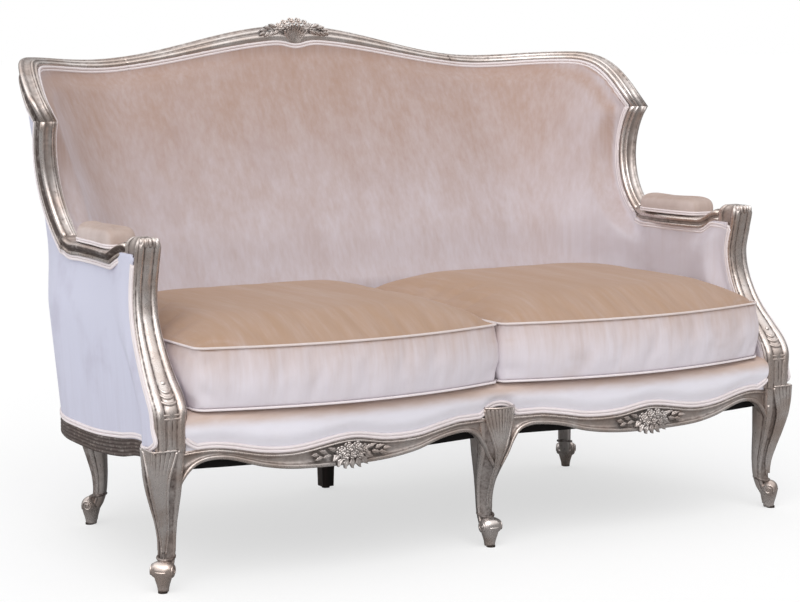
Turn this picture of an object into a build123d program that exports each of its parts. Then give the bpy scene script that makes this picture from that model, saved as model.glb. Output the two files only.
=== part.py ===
"""Two-seat baroque sofa with a carved, silvered frame and two loose seat cushions.

X runs across the sofa, Y from front to back and Z up, in millimetres. The origin is on the
floor under the middle of the sofa. "Back" distances run from the line of the front feet.
"""

from build123d import *
import os
from collections import namedtuple
from math import atan2, cos, degrees, hypot, pi, radians, sin, sqrt

# Stance: where the six feet stand
FRONT_FOOT_HALF = 730
FRONT_CORNER_TURN = 135
REAR_CORNER_TURN = 45
GLIDE_HEIGHT = 4
GLIDE_DIAMETER = 18

# Sides of the frame against the front feet: seat in, head out, and the three inner heights in
SEAT_SET_IN = 8
HEAD_SPLAY = 35
INNER_LOW_SET_IN = 66
INNER_MIDDLE_SET_IN = 52
INNER_HIGH_SET_IN = 10
POST_SET_IN = 10
EAR_SET_IN = 24

# Plan of the frame at a height: half width, back face and radius of the rounded rear corners
Plan = namedtuple("Plan", "z half back radius")
SEAT_LINE = 276
OUTSIDE_LOW = Plan(SEAT_LINE, FRONT_FOOT_HALF - SEAT_SET_IN, 720, 265)
OUTSIDE_HIGH = Plan(975, FRONT_FOOT_HALF + HEAD_SPLAY, 860, 345)
INSIDE_LOW = Plan(SEAT_LINE, FRONT_FOOT_HALF - INNER_LOW_SET_IN, 572, 210)
INSIDE_MIDDLE = Plan(480, FRONT_FOOT_HALF - INNER_MIDDLE_SET_IN, 598, 225)
INSIDE_HIGH = Plan(975, FRONT_FOOT_HALF - INNER_HIGH_SET_IN, 818, 300)

# Seat rails: a carved show face on the outside and a plain inner part for the upholstery
RAIL_THICK = 46
SHOW_DEPTH = 20
RAIL_UNDER = 230
UNDER_LAP = 10
RAIL_BEAD_SHARE = 0.3
FRONT_RAIL_INNER = 12

# Cabriole legs
BLOCK_TOP = 272
CORNER_BLOCK_HALF = 30
CORNER_BLOCK_INNER = 54
CORNER_BEVEL = 18
CENTRE_BLOCK_HALF = 38
CENTRE_BLOCK_FRONT = 42
CENTRE_SHELL_TOP = 290
CENTRE_SHELL_HALF = 26
CENTRE_SHELL_THICK = 10
REAR_BLOCK_HALF = 42
REAR_LEG_INSET = 44
CENTRE_REAR_LEG_TOP = 44
CENTRE_REAR_LEG_FOOT = 28

# Arms
ARM_TOP = 626
ARM_THICK = 34
ARM_WIDE = 70
HAND_TOP = 655
HAND_BACK = 140
HAND_WIDE = 46
ARM_PAD_LENGTH = 214
ARM_PAD_WIDTH = 68
ARM_PAD_HEIGHT = 48
ARM_PAD_GAP = 76
ARM_PAD_LIFT = 1.2
ARM_PAD_SET = 2

# Wings: the stile is an arc about STILE_CENTRE, the wing rail an arc that falls from the ear
STILE_CENTRE_BACK = 384
STILE_CENTRE_Z = 757
STILE_RADIUS = 150
STILE_FOOT_TURN = -56
FRAME_WIDTH = 43
FRAME_THICK = 34
EAR_BACK = 710
WING_RADIUS = 232

# Crest rail: a cosine arch between two low points, and a small lift to each ear
CREST_LOW = 972
CREST_RISE = 72
CREST_HALF = 500
EAR_LIFT = 9
EAR_HALF = FRONT_FOOT_HALF - EAR_SET_IN

# Carved roses with leaf sprays on the crest rail and on the front rails
CREST_ROSE = 26
CREST_SPRAY = 88
RAIL_ROSE = 24
RAIL_SPRAY = 66
RAIL_ROSE_RISE = 21

# Hidden uprights of the back and the blocks in the front corners of the seat
UPRIGHT_SPACING = 300
UPRIGHT_WIDTH = 50
UPRIGHT_FOOT = 26
UPRIGHT_HEAD = 13
UPRIGHT_CLEAR = 4
TACK_RAIL_Z = 330
TACK_RAIL_HEIGHT = 45
TACK_RAIL_THICK = 20
CORNER_BLOCK_LEG = 70
BLOCK_LIFT = 8
STRETCHER_WIDTH = 50

# Upholstery
PANEL_THICK = 5
PANEL_INSET = 6
ARM_PADDING = 30
BACK_PADDING = 60
HEAD_PADDING = 3
STRAP_WIDTH = 50
STRAP_THICK = 2
STRAP_SPACING = 150
STRAP_LAP = 6
LONG_STRAPS = 8
CROSS_STRAPS = 4
DECK_TOP = 335
POST_CLEAR = 48
BORDER_BACK = POST_CLEAR - 2
BORDER_ROUND = 17
BORDER_CROWN = 4
BORDER_SETBACK = 3
CLOTH_THICK = 1

# Seat cushions
CUSHION_EDGE_LOW = 343
CUSHION_EDGE_HIGH = 457
CUSHION_CROWN = 493
CUSHION_CLEAR = 10
CUSHION_OUTER = INSIDE_LOW.half - CUSHION_CLEAR
CUSHION_BACK = 568
CUSHION_BOW = 80
CUSHION_FRONT = 30
CUSHION_REAR_RADIUS = 200
CUSHION_FRONT_RADIUS = 48
CUSHION_SEAM_RADIUS = 14
CUSHION_BULGE = 5
PIPING = 6

# Joinery and clearances
DOWEL_RADIUS = 5
DOWEL_DEPTH = 20
MOULDING_DOWEL_DEPTH = 11
DOWEL_SPREAD = 11
DOWEL_PLAY = 0.05
TOUCH = 0.2
SOFT_GAP = 0.3
CARVING_GAP = 0.6
CREST_GAP = 4
TRIM_GAP = 1

# From the front feet to the middle of the depth, between the cushions' front and the crest rail
MIDDLE = (OUTSIDE_HIGH.back - CUSHION_BOW - PIPING) / 2

Joint = namedtuple("Joint", "plane spread depth")


def at(x, back, z):
    """A point from its distance behind the front feet."""
    return Vector(x, back - MIDDLE, z)


def blend(low, high, z):
    """The plan at height z on the straight slope between two plans."""
    share = (z - low.z) / (high.z - low.z)
    return Plan(z, *(a + (b - a) * share for a, b in zip(low[1:], high[1:])))


def outside(z):
    return blend(OUTSIDE_LOW, OUTSIDE_HIGH, z)


def grown(plan, side, back):
    """A plan moved outwards by one amount at the sides and another at the back."""
    return Plan(plan.z, plan.half + side, plan.back + back, plan.radius + side)


def corner_point(plan, turn):
    """A point on a plan's rounded corner: turn 0 faces the back, 90 the side."""
    x = plan.half - plan.radius * (1 - sin(radians(turn)))
    back = plan.back - plan.radius * (1 - cos(radians(turn)))
    return x, back


def upright_plane(x, back, turn):
    """A vertical plane across a rail whose outer face looks towards turn."""
    side, rear = sin(radians(turn)), cos(radians(turn))
    return Plane(at(x, back, 0), x_dir=(side, rear, 0), z_dir=(rear, -side, 0))


def mirrored(part):
    with BuildPart() as twin:
        mirror(part, about=Plane.YZ)
    return twin.part


def save(part, name):
    part.label = name
    export_step(part, f"parts/{name}.step")


def dowel_centres(joint):
    """Where the dowels of a joint stand on its plane."""
    if joint.spread == 0:
        return [joint.plane.location]
    return [joint.plane.location * Pos(0, y, 0) for y in (-joint.spread, joint.spread)]


def bored(part, joints):
    """A wooden piece with the dowel holes of its joints."""
    with BuildPart() as piece:
        add(part)
        for joint in joints:
            with Locations(*dowel_centres(joint)):
                Cylinder(DOWEL_RADIUS + DOWEL_PLAY, 2 * joint.depth + 1, mode=Mode.SUBTRACT)
    return piece.part


def crest_top(x):
    """Height of the top edge of the back at a distance from the middle."""
    x = abs(x)
    if x < CREST_HALF:
        return CREST_LOW + CREST_RISE * (1 + cos(pi * x / CREST_HALF)) / 2
    share = min((x - CREST_HALF) / (EAR_HALF - CREST_HALF), 1)
    return CREST_LOW + EAR_LIFT * (1 - cos(pi * share)) / 2


EAR_TOP = CREST_LOW + EAR_LIFT
WING_CENTRE = (EAR_BACK, EAR_TOP - WING_RADIUS)
STILE_CENTRE = (STILE_CENTRE_BACK, STILE_CENTRE_Z)


def circles_meet(centre_a, radius_a, centre_b, radius_b):
    """The upper crossing of two circles in the side view, as back and height."""
    run, rise = centre_b[0] - centre_a[0], centre_b[1] - centre_a[1]
    gap = hypot(run, rise)
    along = (radius_a**2 - radius_b**2 + gap**2) / (2 * gap)
    across = sqrt(radius_a**2 - along**2)
    back = centre_a[0] + (along * run - across * rise) / gap
    return back, centre_a[1] + (along * rise + across * run) / gap


WING_TIP = circles_meet(STILE_CENTRE, STILE_RADIUS, WING_CENTRE, WING_RADIUS)
WING_THROAT = circles_meet(
    STILE_CENTRE, STILE_RADIUS + FRAME_THICK, WING_CENTRE, WING_RADIUS - FRAME_THICK
)


def top_edge(turn):
    """A point on the outer top edge of the right wing, from the crest rail to the wing's tip."""
    x, back = corner_point(OUTSIDE_HIGH, turn)
    z = crest_top(x)
    if back < EAR_BACK:
        z = EAR_TOP - WING_RADIUS + sqrt(WING_RADIUS**2 - (EAR_BACK - back) ** 2)
    plan = outside(min(z, OUTSIDE_HIGH.z))
    return at(*corner_point(plan, turn), z)


def crest_plane(x):
    """A plane across the crest rail with its origin on the outer top edge."""
    slope = (crest_top(x + 1) - crest_top(x - 1)) / 2
    origin = at(x, OUTSIDE_HIGH.back, crest_top(x))
    return Plane(origin, x_dir=(0, 1, 0), z_dir=(1, 0, slope))


def wing_plane(turn):
    tangent = top_edge(turn + 0.1) - top_edge(turn - 0.1)
    outward = (sin(radians(turn)), cos(radians(turn)), 0)
    return Plane(top_edge(turn), x_dir=outward, z_dir=tangent)


def side_plane(edge, inner):
    """A plane across an arm or stile, through the show edge and towards the inner edge."""
    run, rise = edge[0] - inner[0], edge[1] - inner[1]
    origin = at(outside(edge[1]).half, *edge)
    return Plane(origin, x_dir=(1, 0, 0), z_dir=(0, -rise, run))


def stile_point(turn, radius):
    back = STILE_CENTRE_BACK + radius * cos(radians(turn))
    return back, STILE_CENTRE_Z + radius * sin(radians(turn))


def stile_plane(turn):
    edge, inner = stile_point(turn, STILE_RADIUS), stile_point(turn, STILE_RADIUS + FRAME_THICK)
    return side_plane(edge, inner)


def moulding_edges(width, thick):
    """Two beads with a cove between them on a plain back, from the outer show edge at 0, 0."""
    inner_bead, outer_bead = -0.72 * width, -0.25 * width
    shoulder, hollow = -0.45 * thick, -0.14 * thick
    Polyline((-width, shoulder), (-width, -thick), (0, -thick), (0, shoulder))
    ThreePointArc((0, shoulder), (-0.07 * width, -0.1 * thick), (outer_bead, 0))
    ThreePointArc((outer_bead, 0), (-0.5 * width, hollow), (inner_bead, 0))
    ThreePointArc((inner_bead, 0), (-0.93 * width, -0.1 * thick), (-width, shoulder))


def moulded(stations):
    """Show-wood lofted through planes with the moulding's width and thickness on each."""
    with BuildPart() as wood:
        for plane, width, thick in stations:
            with BuildSketch(plane):
                with BuildLine():
                    moulding_edges(width, thick)
                make_face()
        loft()
    return wood.part


def rail_under(high):
    """Lower side of a rail's inner part, which laps the show face behind its upper edge."""
    return min(RAIL_UNDER, high - UNDER_LAP)


def rail_edges(thick, low, high):
    """Rail section: bead, cove and bead on the show face, plain inner part behind it."""
    under = rail_under(high)
    bead = RAIL_BEAD_SHARE * (high - low)
    nose = bead / 2
    neck = -0.8 * nose
    Polyline((-SHOW_DEPTH, low), (-nose, low))
    ThreePointArc((-nose, low), (0, low + nose), (neck, low + bead))
    ThreePointArc((neck, low + bead), (2 * neck, (low + high) / 2), (neck, high - bead))
    ThreePointArc((neck, high - bead), (0, high - nose), (-nose, high))
    Polyline(
        (-nose, high),
        (-SHOW_DEPTH, high),
        (-SHOW_DEPTH, SEAT_LINE),
        (-thick, SEAT_LINE),
        (-thick, under),
        (-SHOW_DEPTH, under),
        (-SHOW_DEPTH, low),
    )


def railed(stations):
    """A seat rail lofted through upright planes with thickness, lower and upper show edge."""
    with BuildPart() as wood:
        for plane, thick, low, high in stations:
            with BuildSketch(plane):
                with BuildLine():
                    rail_edges(thick, low, high)
                make_face()
        loft()
    return wood.part


# Front rail of one side, from the centre leg outwards: share of its length, forward bow,
# lower edge and upper edge of the show face
FRONT_RAIL_SHAPE = (
    (0.00, 30, 244, 272),
    (0.09, 37, 247, 272),
    (0.17, 45, 241, 266),
    (0.26, 52, 226, 257),
    (0.37, 57, 217, 257),
    (0.50, 60, 215, 268),
    (0.68, 55, 217, 253),
    (0.78, 48, 226, 255),
    (0.93, 34, 250, 271),
    (1.00, 27, 249, 269),
)
CORNER_FACE = FRONT_FOOT_HALF - CORNER_BLOCK_INNER
FRONT_RAIL_LENGTH = CORNER_FACE - CENTRE_BLOCK_HALF

# Side rail from the front leg to the rear leg: back distance or corner turn, and show edges
SIDE_RAIL_STRAIGHT = ((CORNER_BLOCK_HALF, 232, 262), (130, 236, 270), (210, 222, 259), (330, 212, 248))
SIDE_RAIL_CORNER = ((90, 213, 248), (70, 217, 251))
REAR_SHOW = (221, 254)
REAR_UNDER = rail_under(REAR_SHOW[1])
BLOCK_TURN = degrees(REAR_BLOCK_HALF / OUTSIDE_LOW.radius)
SIDE_RAIL_END = REAR_CORNER_TURN + BLOCK_TURN
REAR_RAIL_END = REAR_CORNER_TURN - BLOCK_TURN


def front_rail_x(share):
    return CENTRE_BLOCK_HALF + FRONT_RAIL_LENGTH * share


def front_rail():
    return railed(
        (upright_plane(front_rail_x(share), -bow, 180), bow + FRONT_RAIL_INNER, low, high)
        for share, bow, low, high in FRONT_RAIL_SHAPE
    )


def corner_plane(turn):
    return upright_plane(*corner_point(OUTSIDE_LOW, turn), turn)


def side_rail():
    stations = [
        (upright_plane(OUTSIDE_LOW.half, back, 90), RAIL_THICK, low, high)
        for back, low, high in SIDE_RAIL_STRAIGHT
    ]
    stations += [(corner_plane(turn), RAIL_THICK, low, high) for turn, low, high in SIDE_RAIL_CORNER]
    stations.append((corner_plane(SIDE_RAIL_END), RAIL_THICK, *REAR_SHOW))
    return railed(stations)


def rear_rail():
    """The rear rail bends around both rear corners up to the rear legs."""
    turns = (REAR_RAIL_END, REAR_RAIL_END / 2, 0)
    right = [corner_plane(turn) for turn in turns]
    middle = upright_plane(0, OUTSIDE_LOW.back, 0)
    left = []
    for turn in reversed(turns):
        x, back = corner_point(OUTSIDE_LOW, turn)
        left.append(upright_plane(-x, back, -turn))
    return railed((plane, RAIL_THICK, *REAR_SHOW) for plane in (*right, middle, *left))


# Leg from the floor up: height, rear face and front face along its heading, and width
LEG_SHAFT = (
    (GLIDE_HEIGHT, -12, 10, 22),
    (28, -24, 4, 30),
    (66, -41, -4, 37),
    (102, -45, -3, 38),
    (135, -43, 8, 45),
    (165, -41, 18, 55),
    (195, -40, 28, 64),
    (216, -40, 32, 66),
    (RAIL_UNDER + 2, -40, 33, 67),
)
LEG_TOE = (
    (GLIDE_HEIGHT, -12, 12, 22),
    (18, -17, 19, 31),
    (38, -22, 25, 43),
    (52, -18, 20, 38),
    (61, -12, 10, 22),
)


def leg_sections(x, back, turn, shape):
    """Planes and sizes of a leg's level sections, with its toe towards turn."""
    side, rear = sin(radians(turn)), cos(radians(turn))
    for z, heel, front, width in shape:
        centre = (heel + front) / 2
        origin = at(x + side * centre, back + rear * centre, z)
        yield Plane(origin, x_dir=(side, rear, 0), z_dir=(0, 0, 1)), front - heel, width


def cabriole(x, back, turn, block, under):
    """A cabriole leg with a scroll toe and a block of the given plan points from under upwards."""
    with BuildPart() as leg:
        for shape in (LEG_SHAFT, LEG_TOE):
            for plane, depth, width in leg_sections(x, back, turn, shape):
                with BuildSketch(plane):
                    RectangleRounded(depth, width, 0.3 * min(depth, width))
            loft()
        with BuildSketch(Plane.XY.offset(under)):
            with BuildLine():
                Polyline(*(at(*point, 0) for point in block), close=True)
            make_face()
        extrude(amount=BLOCK_TOP - under)
    return leg.part


def front_corner_leg():
    half, bevel = CORNER_BLOCK_HALF, CORNER_BEVEL
    block = (
        (CORNER_FACE, -half),
        (CORNER_FACE, half),
        (FRONT_FOOT_HALF + half, half),
        (FRONT_FOOT_HALF + half, bevel - half),
        (FRONT_FOOT_HALF + half - bevel, -half),
    )
    return cabriole(FRONT_FOOT_HALF, 0, FRONT_CORNER_TURN, block, RAIL_UNDER)


def front_centre_leg():
    half, front = CENTRE_BLOCK_HALF, CENTRE_BLOCK_FRONT
    block = ((-half, FRONT_RAIL_INNER), (half, FRONT_RAIL_INNER), (half, -front), (-half, -front))
    with BuildPart() as leg:
        add(cabriole(0, 0, 180, block, RAIL_UNDER))
        with BuildSketch(Plane(at(0, -front, 0), x_dir=(1, 0, 0), z_dir=(0, -1, 0))):
            with BuildLine():
                crown = ThreePointArc(
                    (-CENTRE_SHELL_HALF, BLOCK_TOP), (0, CENTRE_SHELL_TOP), (CENTRE_SHELL_HALF, BLOCK_TOP)
                )
                Line(crown @ 1, crown @ 0)
            make_face()
        extrude(amount=-CENTRE_SHELL_THICK)
    return leg.part


def rear_corner_leg():
    inner = grown(OUTSIDE_LOW, -RAIL_THICK, -RAIL_THICK)
    block = (
        corner_point(OUTSIDE_LOW, REAR_RAIL_END),
        corner_point(OUTSIDE_LOW, SIDE_RAIL_END),
        corner_point(inner, SIDE_RAIL_END),
        corner_point(inner, REAR_RAIL_END),
    )
    foot = grown(OUTSIDE_LOW, -REAR_LEG_INSET, -REAR_LEG_INSET)
    return cabriole(*corner_point(foot, REAR_CORNER_TURN), REAR_CORNER_TURN, block, REAR_UNDER)


CENTRE_REAR_BACK = OUTSIDE_LOW.back - (RAIL_THICK + SHOW_DEPTH) / 2


def rear_centre_leg():
    """A plain tapered leg under the middle of the rear rail."""
    with BuildPart() as leg:
        top = REAR_UNDER - TRIM_GAP / 2
        for z, size in ((GLIDE_HEIGHT, CENTRE_REAR_LEG_FOOT), (top, CENTRE_REAR_LEG_TOP)):
            with BuildSketch(Plane(at(0, CENTRE_REAR_BACK, z))):
                Rectangle(size, min(size, RAIL_THICK - SHOW_DEPTH - 2 * TRIM_GAP))
        loft()
    return leg.part


# Arm post from the leg block to the hand: height, centre across, centre back, width and depth
POST_HALF = FRONT_FOOT_HALF - POST_SET_IN
HAND_X = POST_HALF - 11
POST_SHAPE = (
    (BLOCK_TOP, POST_HALF, 0, 54, 52),
    (310, POST_HALF, 0, 57, 54),
    (345, POST_HALF, 3, 61, 57),
    (372, POST_HALF, 19, 61, 56),
    (400, POST_HALF - 1, 44, 56, 52),
    (440, POST_HALF - 5, 79, 50, 48),
    (480, POST_HALF - 7, 104, 46, 46),
    (520, POST_HALF - 9, 118, 44, 44),
    (560, HAND_X, 122, 44, 44),
    (600, HAND_X, 118, 45, 52),
    (640, HAND_X, 113, HAND_WIDE, 60),
    (HAND_TOP, HAND_X, 110, 42, 56),
)
POST_CORNER = 9
HAND_UNDER = ARM_TOP - ARM_THICK


def arm_post():
    with BuildPart() as post:
        for z, x, back, width, depth in POST_SHAPE:
            with BuildSketch(Plane(at(x, back, z))):
                RectangleRounded(width, depth, POST_CORNER)
        loft()
        with BuildSketch(Plane.XY.offset(HAND_UNDER)):
            with Locations(at(FRONT_FOOT_HALF, HAND_BACK, 0)):
                Rectangle(2 * ARM_WIDE, ARM_WIDE, align=(Align.CENTER, Align.MIN))
        extrude(amount=HAND_TOP - HAND_UNDER + 1, mode=Mode.SUBTRACT)
    return post.part


ARM_FRONT = side_plane((HAND_BACK, ARM_TOP), (HAND_BACK, HAND_UNDER))
HAND_PLANE = Plane(at(HAND_X + HAND_WIDE / 2, HAND_BACK, ARM_TOP), ARM_FRONT.x_dir, ARM_FRONT.z_dir)

# Arm rail behind the hand: back distance and width
ARM_SHAPE = ((205, 64), (270, ARM_WIDE), (335, 68), (400, 58))


def arm_rail():
    stations = [(HAND_PLANE, HAND_WIDE, ARM_THICK)]
    for back, width in ARM_SHAPE:
        stations.append((side_plane((back, ARM_TOP), (back, HAND_UNDER)), width, ARM_THICK))
    stations.append((stile_plane(STILE_FOOT_TURN), FRAME_WIDTH, FRAME_THICK))
    return moulded(stations)


MITRE = side_plane(WING_TIP, WING_THROAT)
MITRE_LENGTH = hypot(WING_TIP[0] - WING_THROAT[0], WING_TIP[1] - WING_THROAT[1])


def wing_stile():
    stations = [(stile_plane(turn), FRAME_WIDTH, FRAME_THICK) for turn in (STILE_FOOT_TURN, -34, -12, 10)]
    return moulded((*stations, (MITRE, FRAME_WIDTH, MITRE_LENGTH)))


def wing_rail():
    turns = (0, 8, 16, 24, 32, 40, 48, 56, 64, 72, 80, 86)
    stations = [(wing_plane(turn), FRAME_WIDTH, FRAME_THICK) for turn in turns]
    return moulded((*stations, (MITRE, FRAME_WIDTH, MITRE_LENGTH)))


CREST_END = OUTSIDE_HIGH.half - OUTSIDE_HIGH.radius


def crest_rail():
    shares = (-1, -0.75, -0.5, -0.25, 0, 0.25, 0.5, 0.75, 1)
    stations = [(crest_plane(share * CREST_END), FRAME_WIDTH, FRAME_THICK) for share in shares[1:-1]]
    right = (wing_plane(0), FRAME_WIDTH, FRAME_THICK)
    end = wing_plane(0)
    left = (Plane(Vector(-end.origin.X, end.origin.Y, end.origin.Z), (0, 1, 0),
                  (end.z_dir.X, 0, -end.z_dir.Z)), FRAME_WIDTH, FRAME_THICK)
    return moulded((left, *stations, right))


def carved_flower(plane, radius, leaf):
    """A rose of overlapping petals between two leaf sprays, glued on a plane."""
    glue = plane.offset(CARVING_GAP)
    with BuildPart(glue) as flower:
        Sphere(0.5 * radius)
        with PolarLocations(0.62 * radius, 6):
            Sphere(0.4 * radius)
        split(bisect_by=glue, keep=Keep.TOP)
        bend = 0.35 * radius
        for side in (-1, 1):
            for lift in (-0.4 * radius, 0.5 * radius):
                middle, tip = (side * leaf / 2, lift / 2), (side * leaf, lift)
                with BuildSketch(glue):
                    with BuildLine():
                        Polyline((0, 0), (middle[0], middle[1] + bend), tip,
                                 (middle[0], middle[1] - bend), close=True)
                    make_face()
                extrude(amount=0.3 * radius)
    return flower.part


def u_edges(plan, front):
    """The open outline of a plan: right side, back and left side."""
    outline = []
    for turn in (90, 45, 0):
        outline.append(corner_point(plan, turn))
    start, middle, end = (at(x, back, 0) for x, back in outline)
    left = [Vector(-p.X, p.Y) for p in (start, middle, end)]
    Line(at(plan.half, front, 0), start)
    ThreePointArc(start, middle, end)
    Line(end, left[2])
    ThreePointArc(left[2], left[1], left[0])
    Line(left[0], at(-plan.half, front, 0))


# Side view of the room that the show-wood leaves for padding and covers
POST_REAR = (
    (POST_CLEAR, RAIL_UNDER),
    (POST_CLEAR, 330),
    (104, 415),
    (160, 505),
    (163, HAND_UNDER - TRIM_GAP),
)


def side_room():
    """Everything behind the arm post, under the arm and behind the wing, through the whole width."""
    stile = STILE_RADIUS + FRAME_THICK + TRIM_GAP
    rail = WING_RADIUS - FRAME_THICK - TRIM_GAP
    throat = circles_meet(STILE_CENTRE, stile, WING_CENTRE, rail)
    foot = stile_point(STILE_FOOT_TURN, stile)
    tip_turn = degrees(atan2(throat[1] - STILE_CENTRE_Z, throat[0] - STILE_CENTRE_BACK))
    halfway = stile_point((STILE_FOOT_TURN + tip_turn) / 2, stile)
    ear = (EAR_BACK, WING_CENTRE[1] + rail)
    rise = atan2(throat[1] - WING_CENTRE[1], throat[0] - EAR_BACK)
    brow_turn = (rise + pi / 2) / 2
    brow = (EAR_BACK + rail * cos(brow_turn), WING_CENTRE[1] + rail * sin(brow_turn))
    far = EAR_BACK + OUTSIDE_HIGH.radius
    under, high = POST_REAR[-1][1], CREST_LOW + 2 * CREST_RISE
    points = [(back - MIDDLE, z) for back, z in
              (*POST_REAR, (foot[0], under), foot, halfway, throat, brow, ear)]
    with BuildPart() as room:
        with BuildSketch(Plane.YZ.offset(-OUTSIDE_HIGH.half - FRAME_WIDTH)):
            with BuildLine():
                Line(points[0], points[1])
                ThreePointArc(points[1], points[2], points[3])
                Polyline(*points[3:7])
                ThreePointArc(*points[6:9])
                ThreePointArc(*points[8:11])
                Polyline(points[10], (EAR_BACK - MIDDLE, high), (far - MIDDLE, high),
                         (far - MIDDLE, RAIL_UNDER), points[0])
            make_face()
        extrude(amount=2 * (OUTSIDE_HIGH.half + FRAME_WIDTH))
    return room.part


def front_room():
    """Everything under the crest rail, through the whole depth."""
    drop = FRAME_THICK + CREST_GAP
    wide = OUTSIDE_HIGH.half + FRAME_WIDTH
    curve = [(share * CREST_HALF, crest_top(share * CREST_HALF) - drop)
             for share in (-1, -0.75, -0.5, -0.25, 0, 0.25, 0.5, 0.75, 1)]
    with BuildPart() as room:
        with BuildSketch(Plane.XZ.offset(-OUTSIDE_HIGH.back)):
            with BuildLine():
                Spline(*curve, tangents=((1, 0), (1, 0)))
                Polyline(curve[-1], (wide, CREST_LOW - drop), (wide, RAIL_UNDER),
                         (-wide, RAIL_UNDER), (-wide, CREST_LOW - drop), curve[0])
            make_face()
        extrude(amount=2 * OUTSIDE_HIGH.back)
    return room.part


def side_slab(inner, outer):
    """Plan points of the straight side part between two plans."""
    return [at(inner.half, 0, 0), at(outer.half, 0, 0), at(*corner_point(outer, 90), 0),
            at(*corner_point(inner, 90), 0)]


def padded(pairs, kind, rooms):
    """A cover or pad between pairs of plans from its foot to its head, trimmed to its room.

    kind is "side", "corner" or "back". The corner runs round the plan's arc."""
    with BuildPart() as pad:
        for inner, outer in pairs:
            with BuildSketch(Plane.XY.offset(inner.z)):
                with BuildLine():
                    if kind == "side":
                        Polyline(*side_slab(inner, outer), close=True)
                    elif kind == "back":
                        far, near = (corner_point(plan, 0) for plan in (outer, inner))
                        Polyline(at(-far[0], far[1], 0), at(*far, 0), at(*near, 0),
                                 at(-near[0], near[1], 0), close=True)
                    else:
                        arcs = [[at(*corner_point(plan, turn), 0) for turn in (0, 45, 90)]
                                for plan in (inner, outer)]
                        ThreePointArc(*arcs[0])
                        Line(arcs[0][2], arcs[1][2])
                        ThreePointArc(*reversed(arcs[1]))
                        Line(arcs[1][0], arcs[0][0])
                make_face()
        loft(ruled=True)
        for room in rooms:
            add(room, mode=Mode.INTERSECT)
    return pad.part


PAD_FOOT = SEAT_LINE + 2 * STRAP_THICK + TRIM_GAP


def inside_pairs():
    """Padding between its face and its rear side, at its foot, at the seat and at the top."""
    foot = blend(INSIDE_LOW, INSIDE_MIDDLE, PAD_FOOT)
    top = blend(INSIDE_MIDDLE, INSIDE_HIGH, CREST_LOW + CREST_RISE)
    for plan, depth in ((foot, BACK_PADDING), (INSIDE_MIDDLE, BACK_PADDING), (top, HEAD_PADDING)):
        yield plan, grown(plan, ARM_PADDING, depth)


def outside_pairs():
    for z in (SEAT_LINE + SOFT_GAP, CREST_LOW + CREST_RISE):
        skin = grown(outside(z), -PANEL_INSET, -PANEL_INSET)
        yield grown(skin, -PANEL_THICK, -PANEL_THICK), skin


def upright_front(z):
    """Front face of the hidden uprights, which lean with the back of the sofa."""
    foot = OUTSIDE_LOW.back - SHOW_DEPTH - UPRIGHT_FOOT
    head = OUTSIDE_HIGH.back - PANEL_INSET - PANEL_THICK - UPRIGHT_CLEAR - UPRIGHT_HEAD
    return foot + (head - foot) * (z - OUTSIDE_LOW.z) / (OUTSIDE_HIGH.z - OUTSIDE_LOW.z)


def back_upright(x, crest):
    """A hidden upright from the rear rail to the crest rail, with its head shaped to the rail."""
    top = crest_top(x) - FRAME_THICK / 2
    with BuildPart() as upright:
        for z, depth in ((SEAT_LINE, UPRIGHT_FOOT), (top, UPRIGHT_HEAD)):
            with BuildSketch(Plane(at(x, upright_front(z), z))):
                Rectangle(UPRIGHT_WIDTH, depth, align=(Align.CENTER, Align.MIN))
        loft()
        add(crest, mode=Mode.SUBTRACT)
    return upright.part


def cushion_edges(inset):
    """The outline of the right cushion, drawn in by inset."""
    left, right = PIPING + TRIM_GAP + inset, CUSHION_OUTER - inset
    front, back = inset - CUSHION_FRONT, CUSHION_BACK - inset
    nose, rear, seam = CUSHION_FRONT_RADIUS, CUSHION_REAR_RADIUS - inset, CUSHION_SEAM_RADIUS
    mid = 1 - sqrt(0.5)
    bow = ((left + right) / 2, inset - CUSHION_BOW)
    ThreePointArc(at(left + seam, front, 0), at(*bow, 0), at(right - nose, front, 0))
    ThreePointArc(at(right - nose, front, 0), at(right - nose * mid, front + nose * mid, 0),
                  at(right, front + nose, 0))
    Line(at(right, front + nose, 0), at(right, back - rear, 0))
    ThreePointArc(at(right, back - rear, 0), at(right - rear * mid, back - rear * mid, 0),
                  at(right - rear, back, 0))
    Line(at(right - rear, back, 0), at(left + seam, back, 0))
    ThreePointArc(at(left + seam, back, 0), at(left + seam * mid, back - seam * mid, 0),
                  at(left, back - seam, 0))
    Line(at(left, back - seam, 0), at(left, front + seam, 0))
    ThreePointArc(at(left, front + seam, 0), at(left + seam * mid, front + seam * mid, 0),
                  at(left + seam, front, 0))


def seat_cushion():
    """A boxed cushion: drawn-in edges at the piping, bulging sides and a crown above and below."""
    middle = (CUSHION_EDGE_LOW + CUSHION_EDGE_HIGH) / 2
    swell = CUSHION_CROWN - CUSHION_EDGE_HIGH
    sole = DECK_TOP + SOFT_GAP
    layers = (
        ((sole, 60), ((sole + CUSHION_EDGE_LOW) / 2, 18), (CUSHION_EDGE_LOW, 0)),
        ((CUSHION_EDGE_LOW, 0), (middle, -CUSHION_BULGE), (CUSHION_EDGE_HIGH, 0)),
        ((CUSHION_EDGE_HIGH, 0), (CUSHION_EDGE_HIGH + 0.5 * swell, 30),
         (CUSHION_EDGE_HIGH + 0.82 * swell, 78), (CUSHION_CROWN, 140)),
    )
    with BuildPart() as cushion:
        for layer in layers:
            for z, inset in layer:
                with BuildSketch(Plane.XY.offset(z)):
                    with BuildLine():
                        cushion_edges(inset)
                    make_face()
            loft()
    return cushion.part


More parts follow.
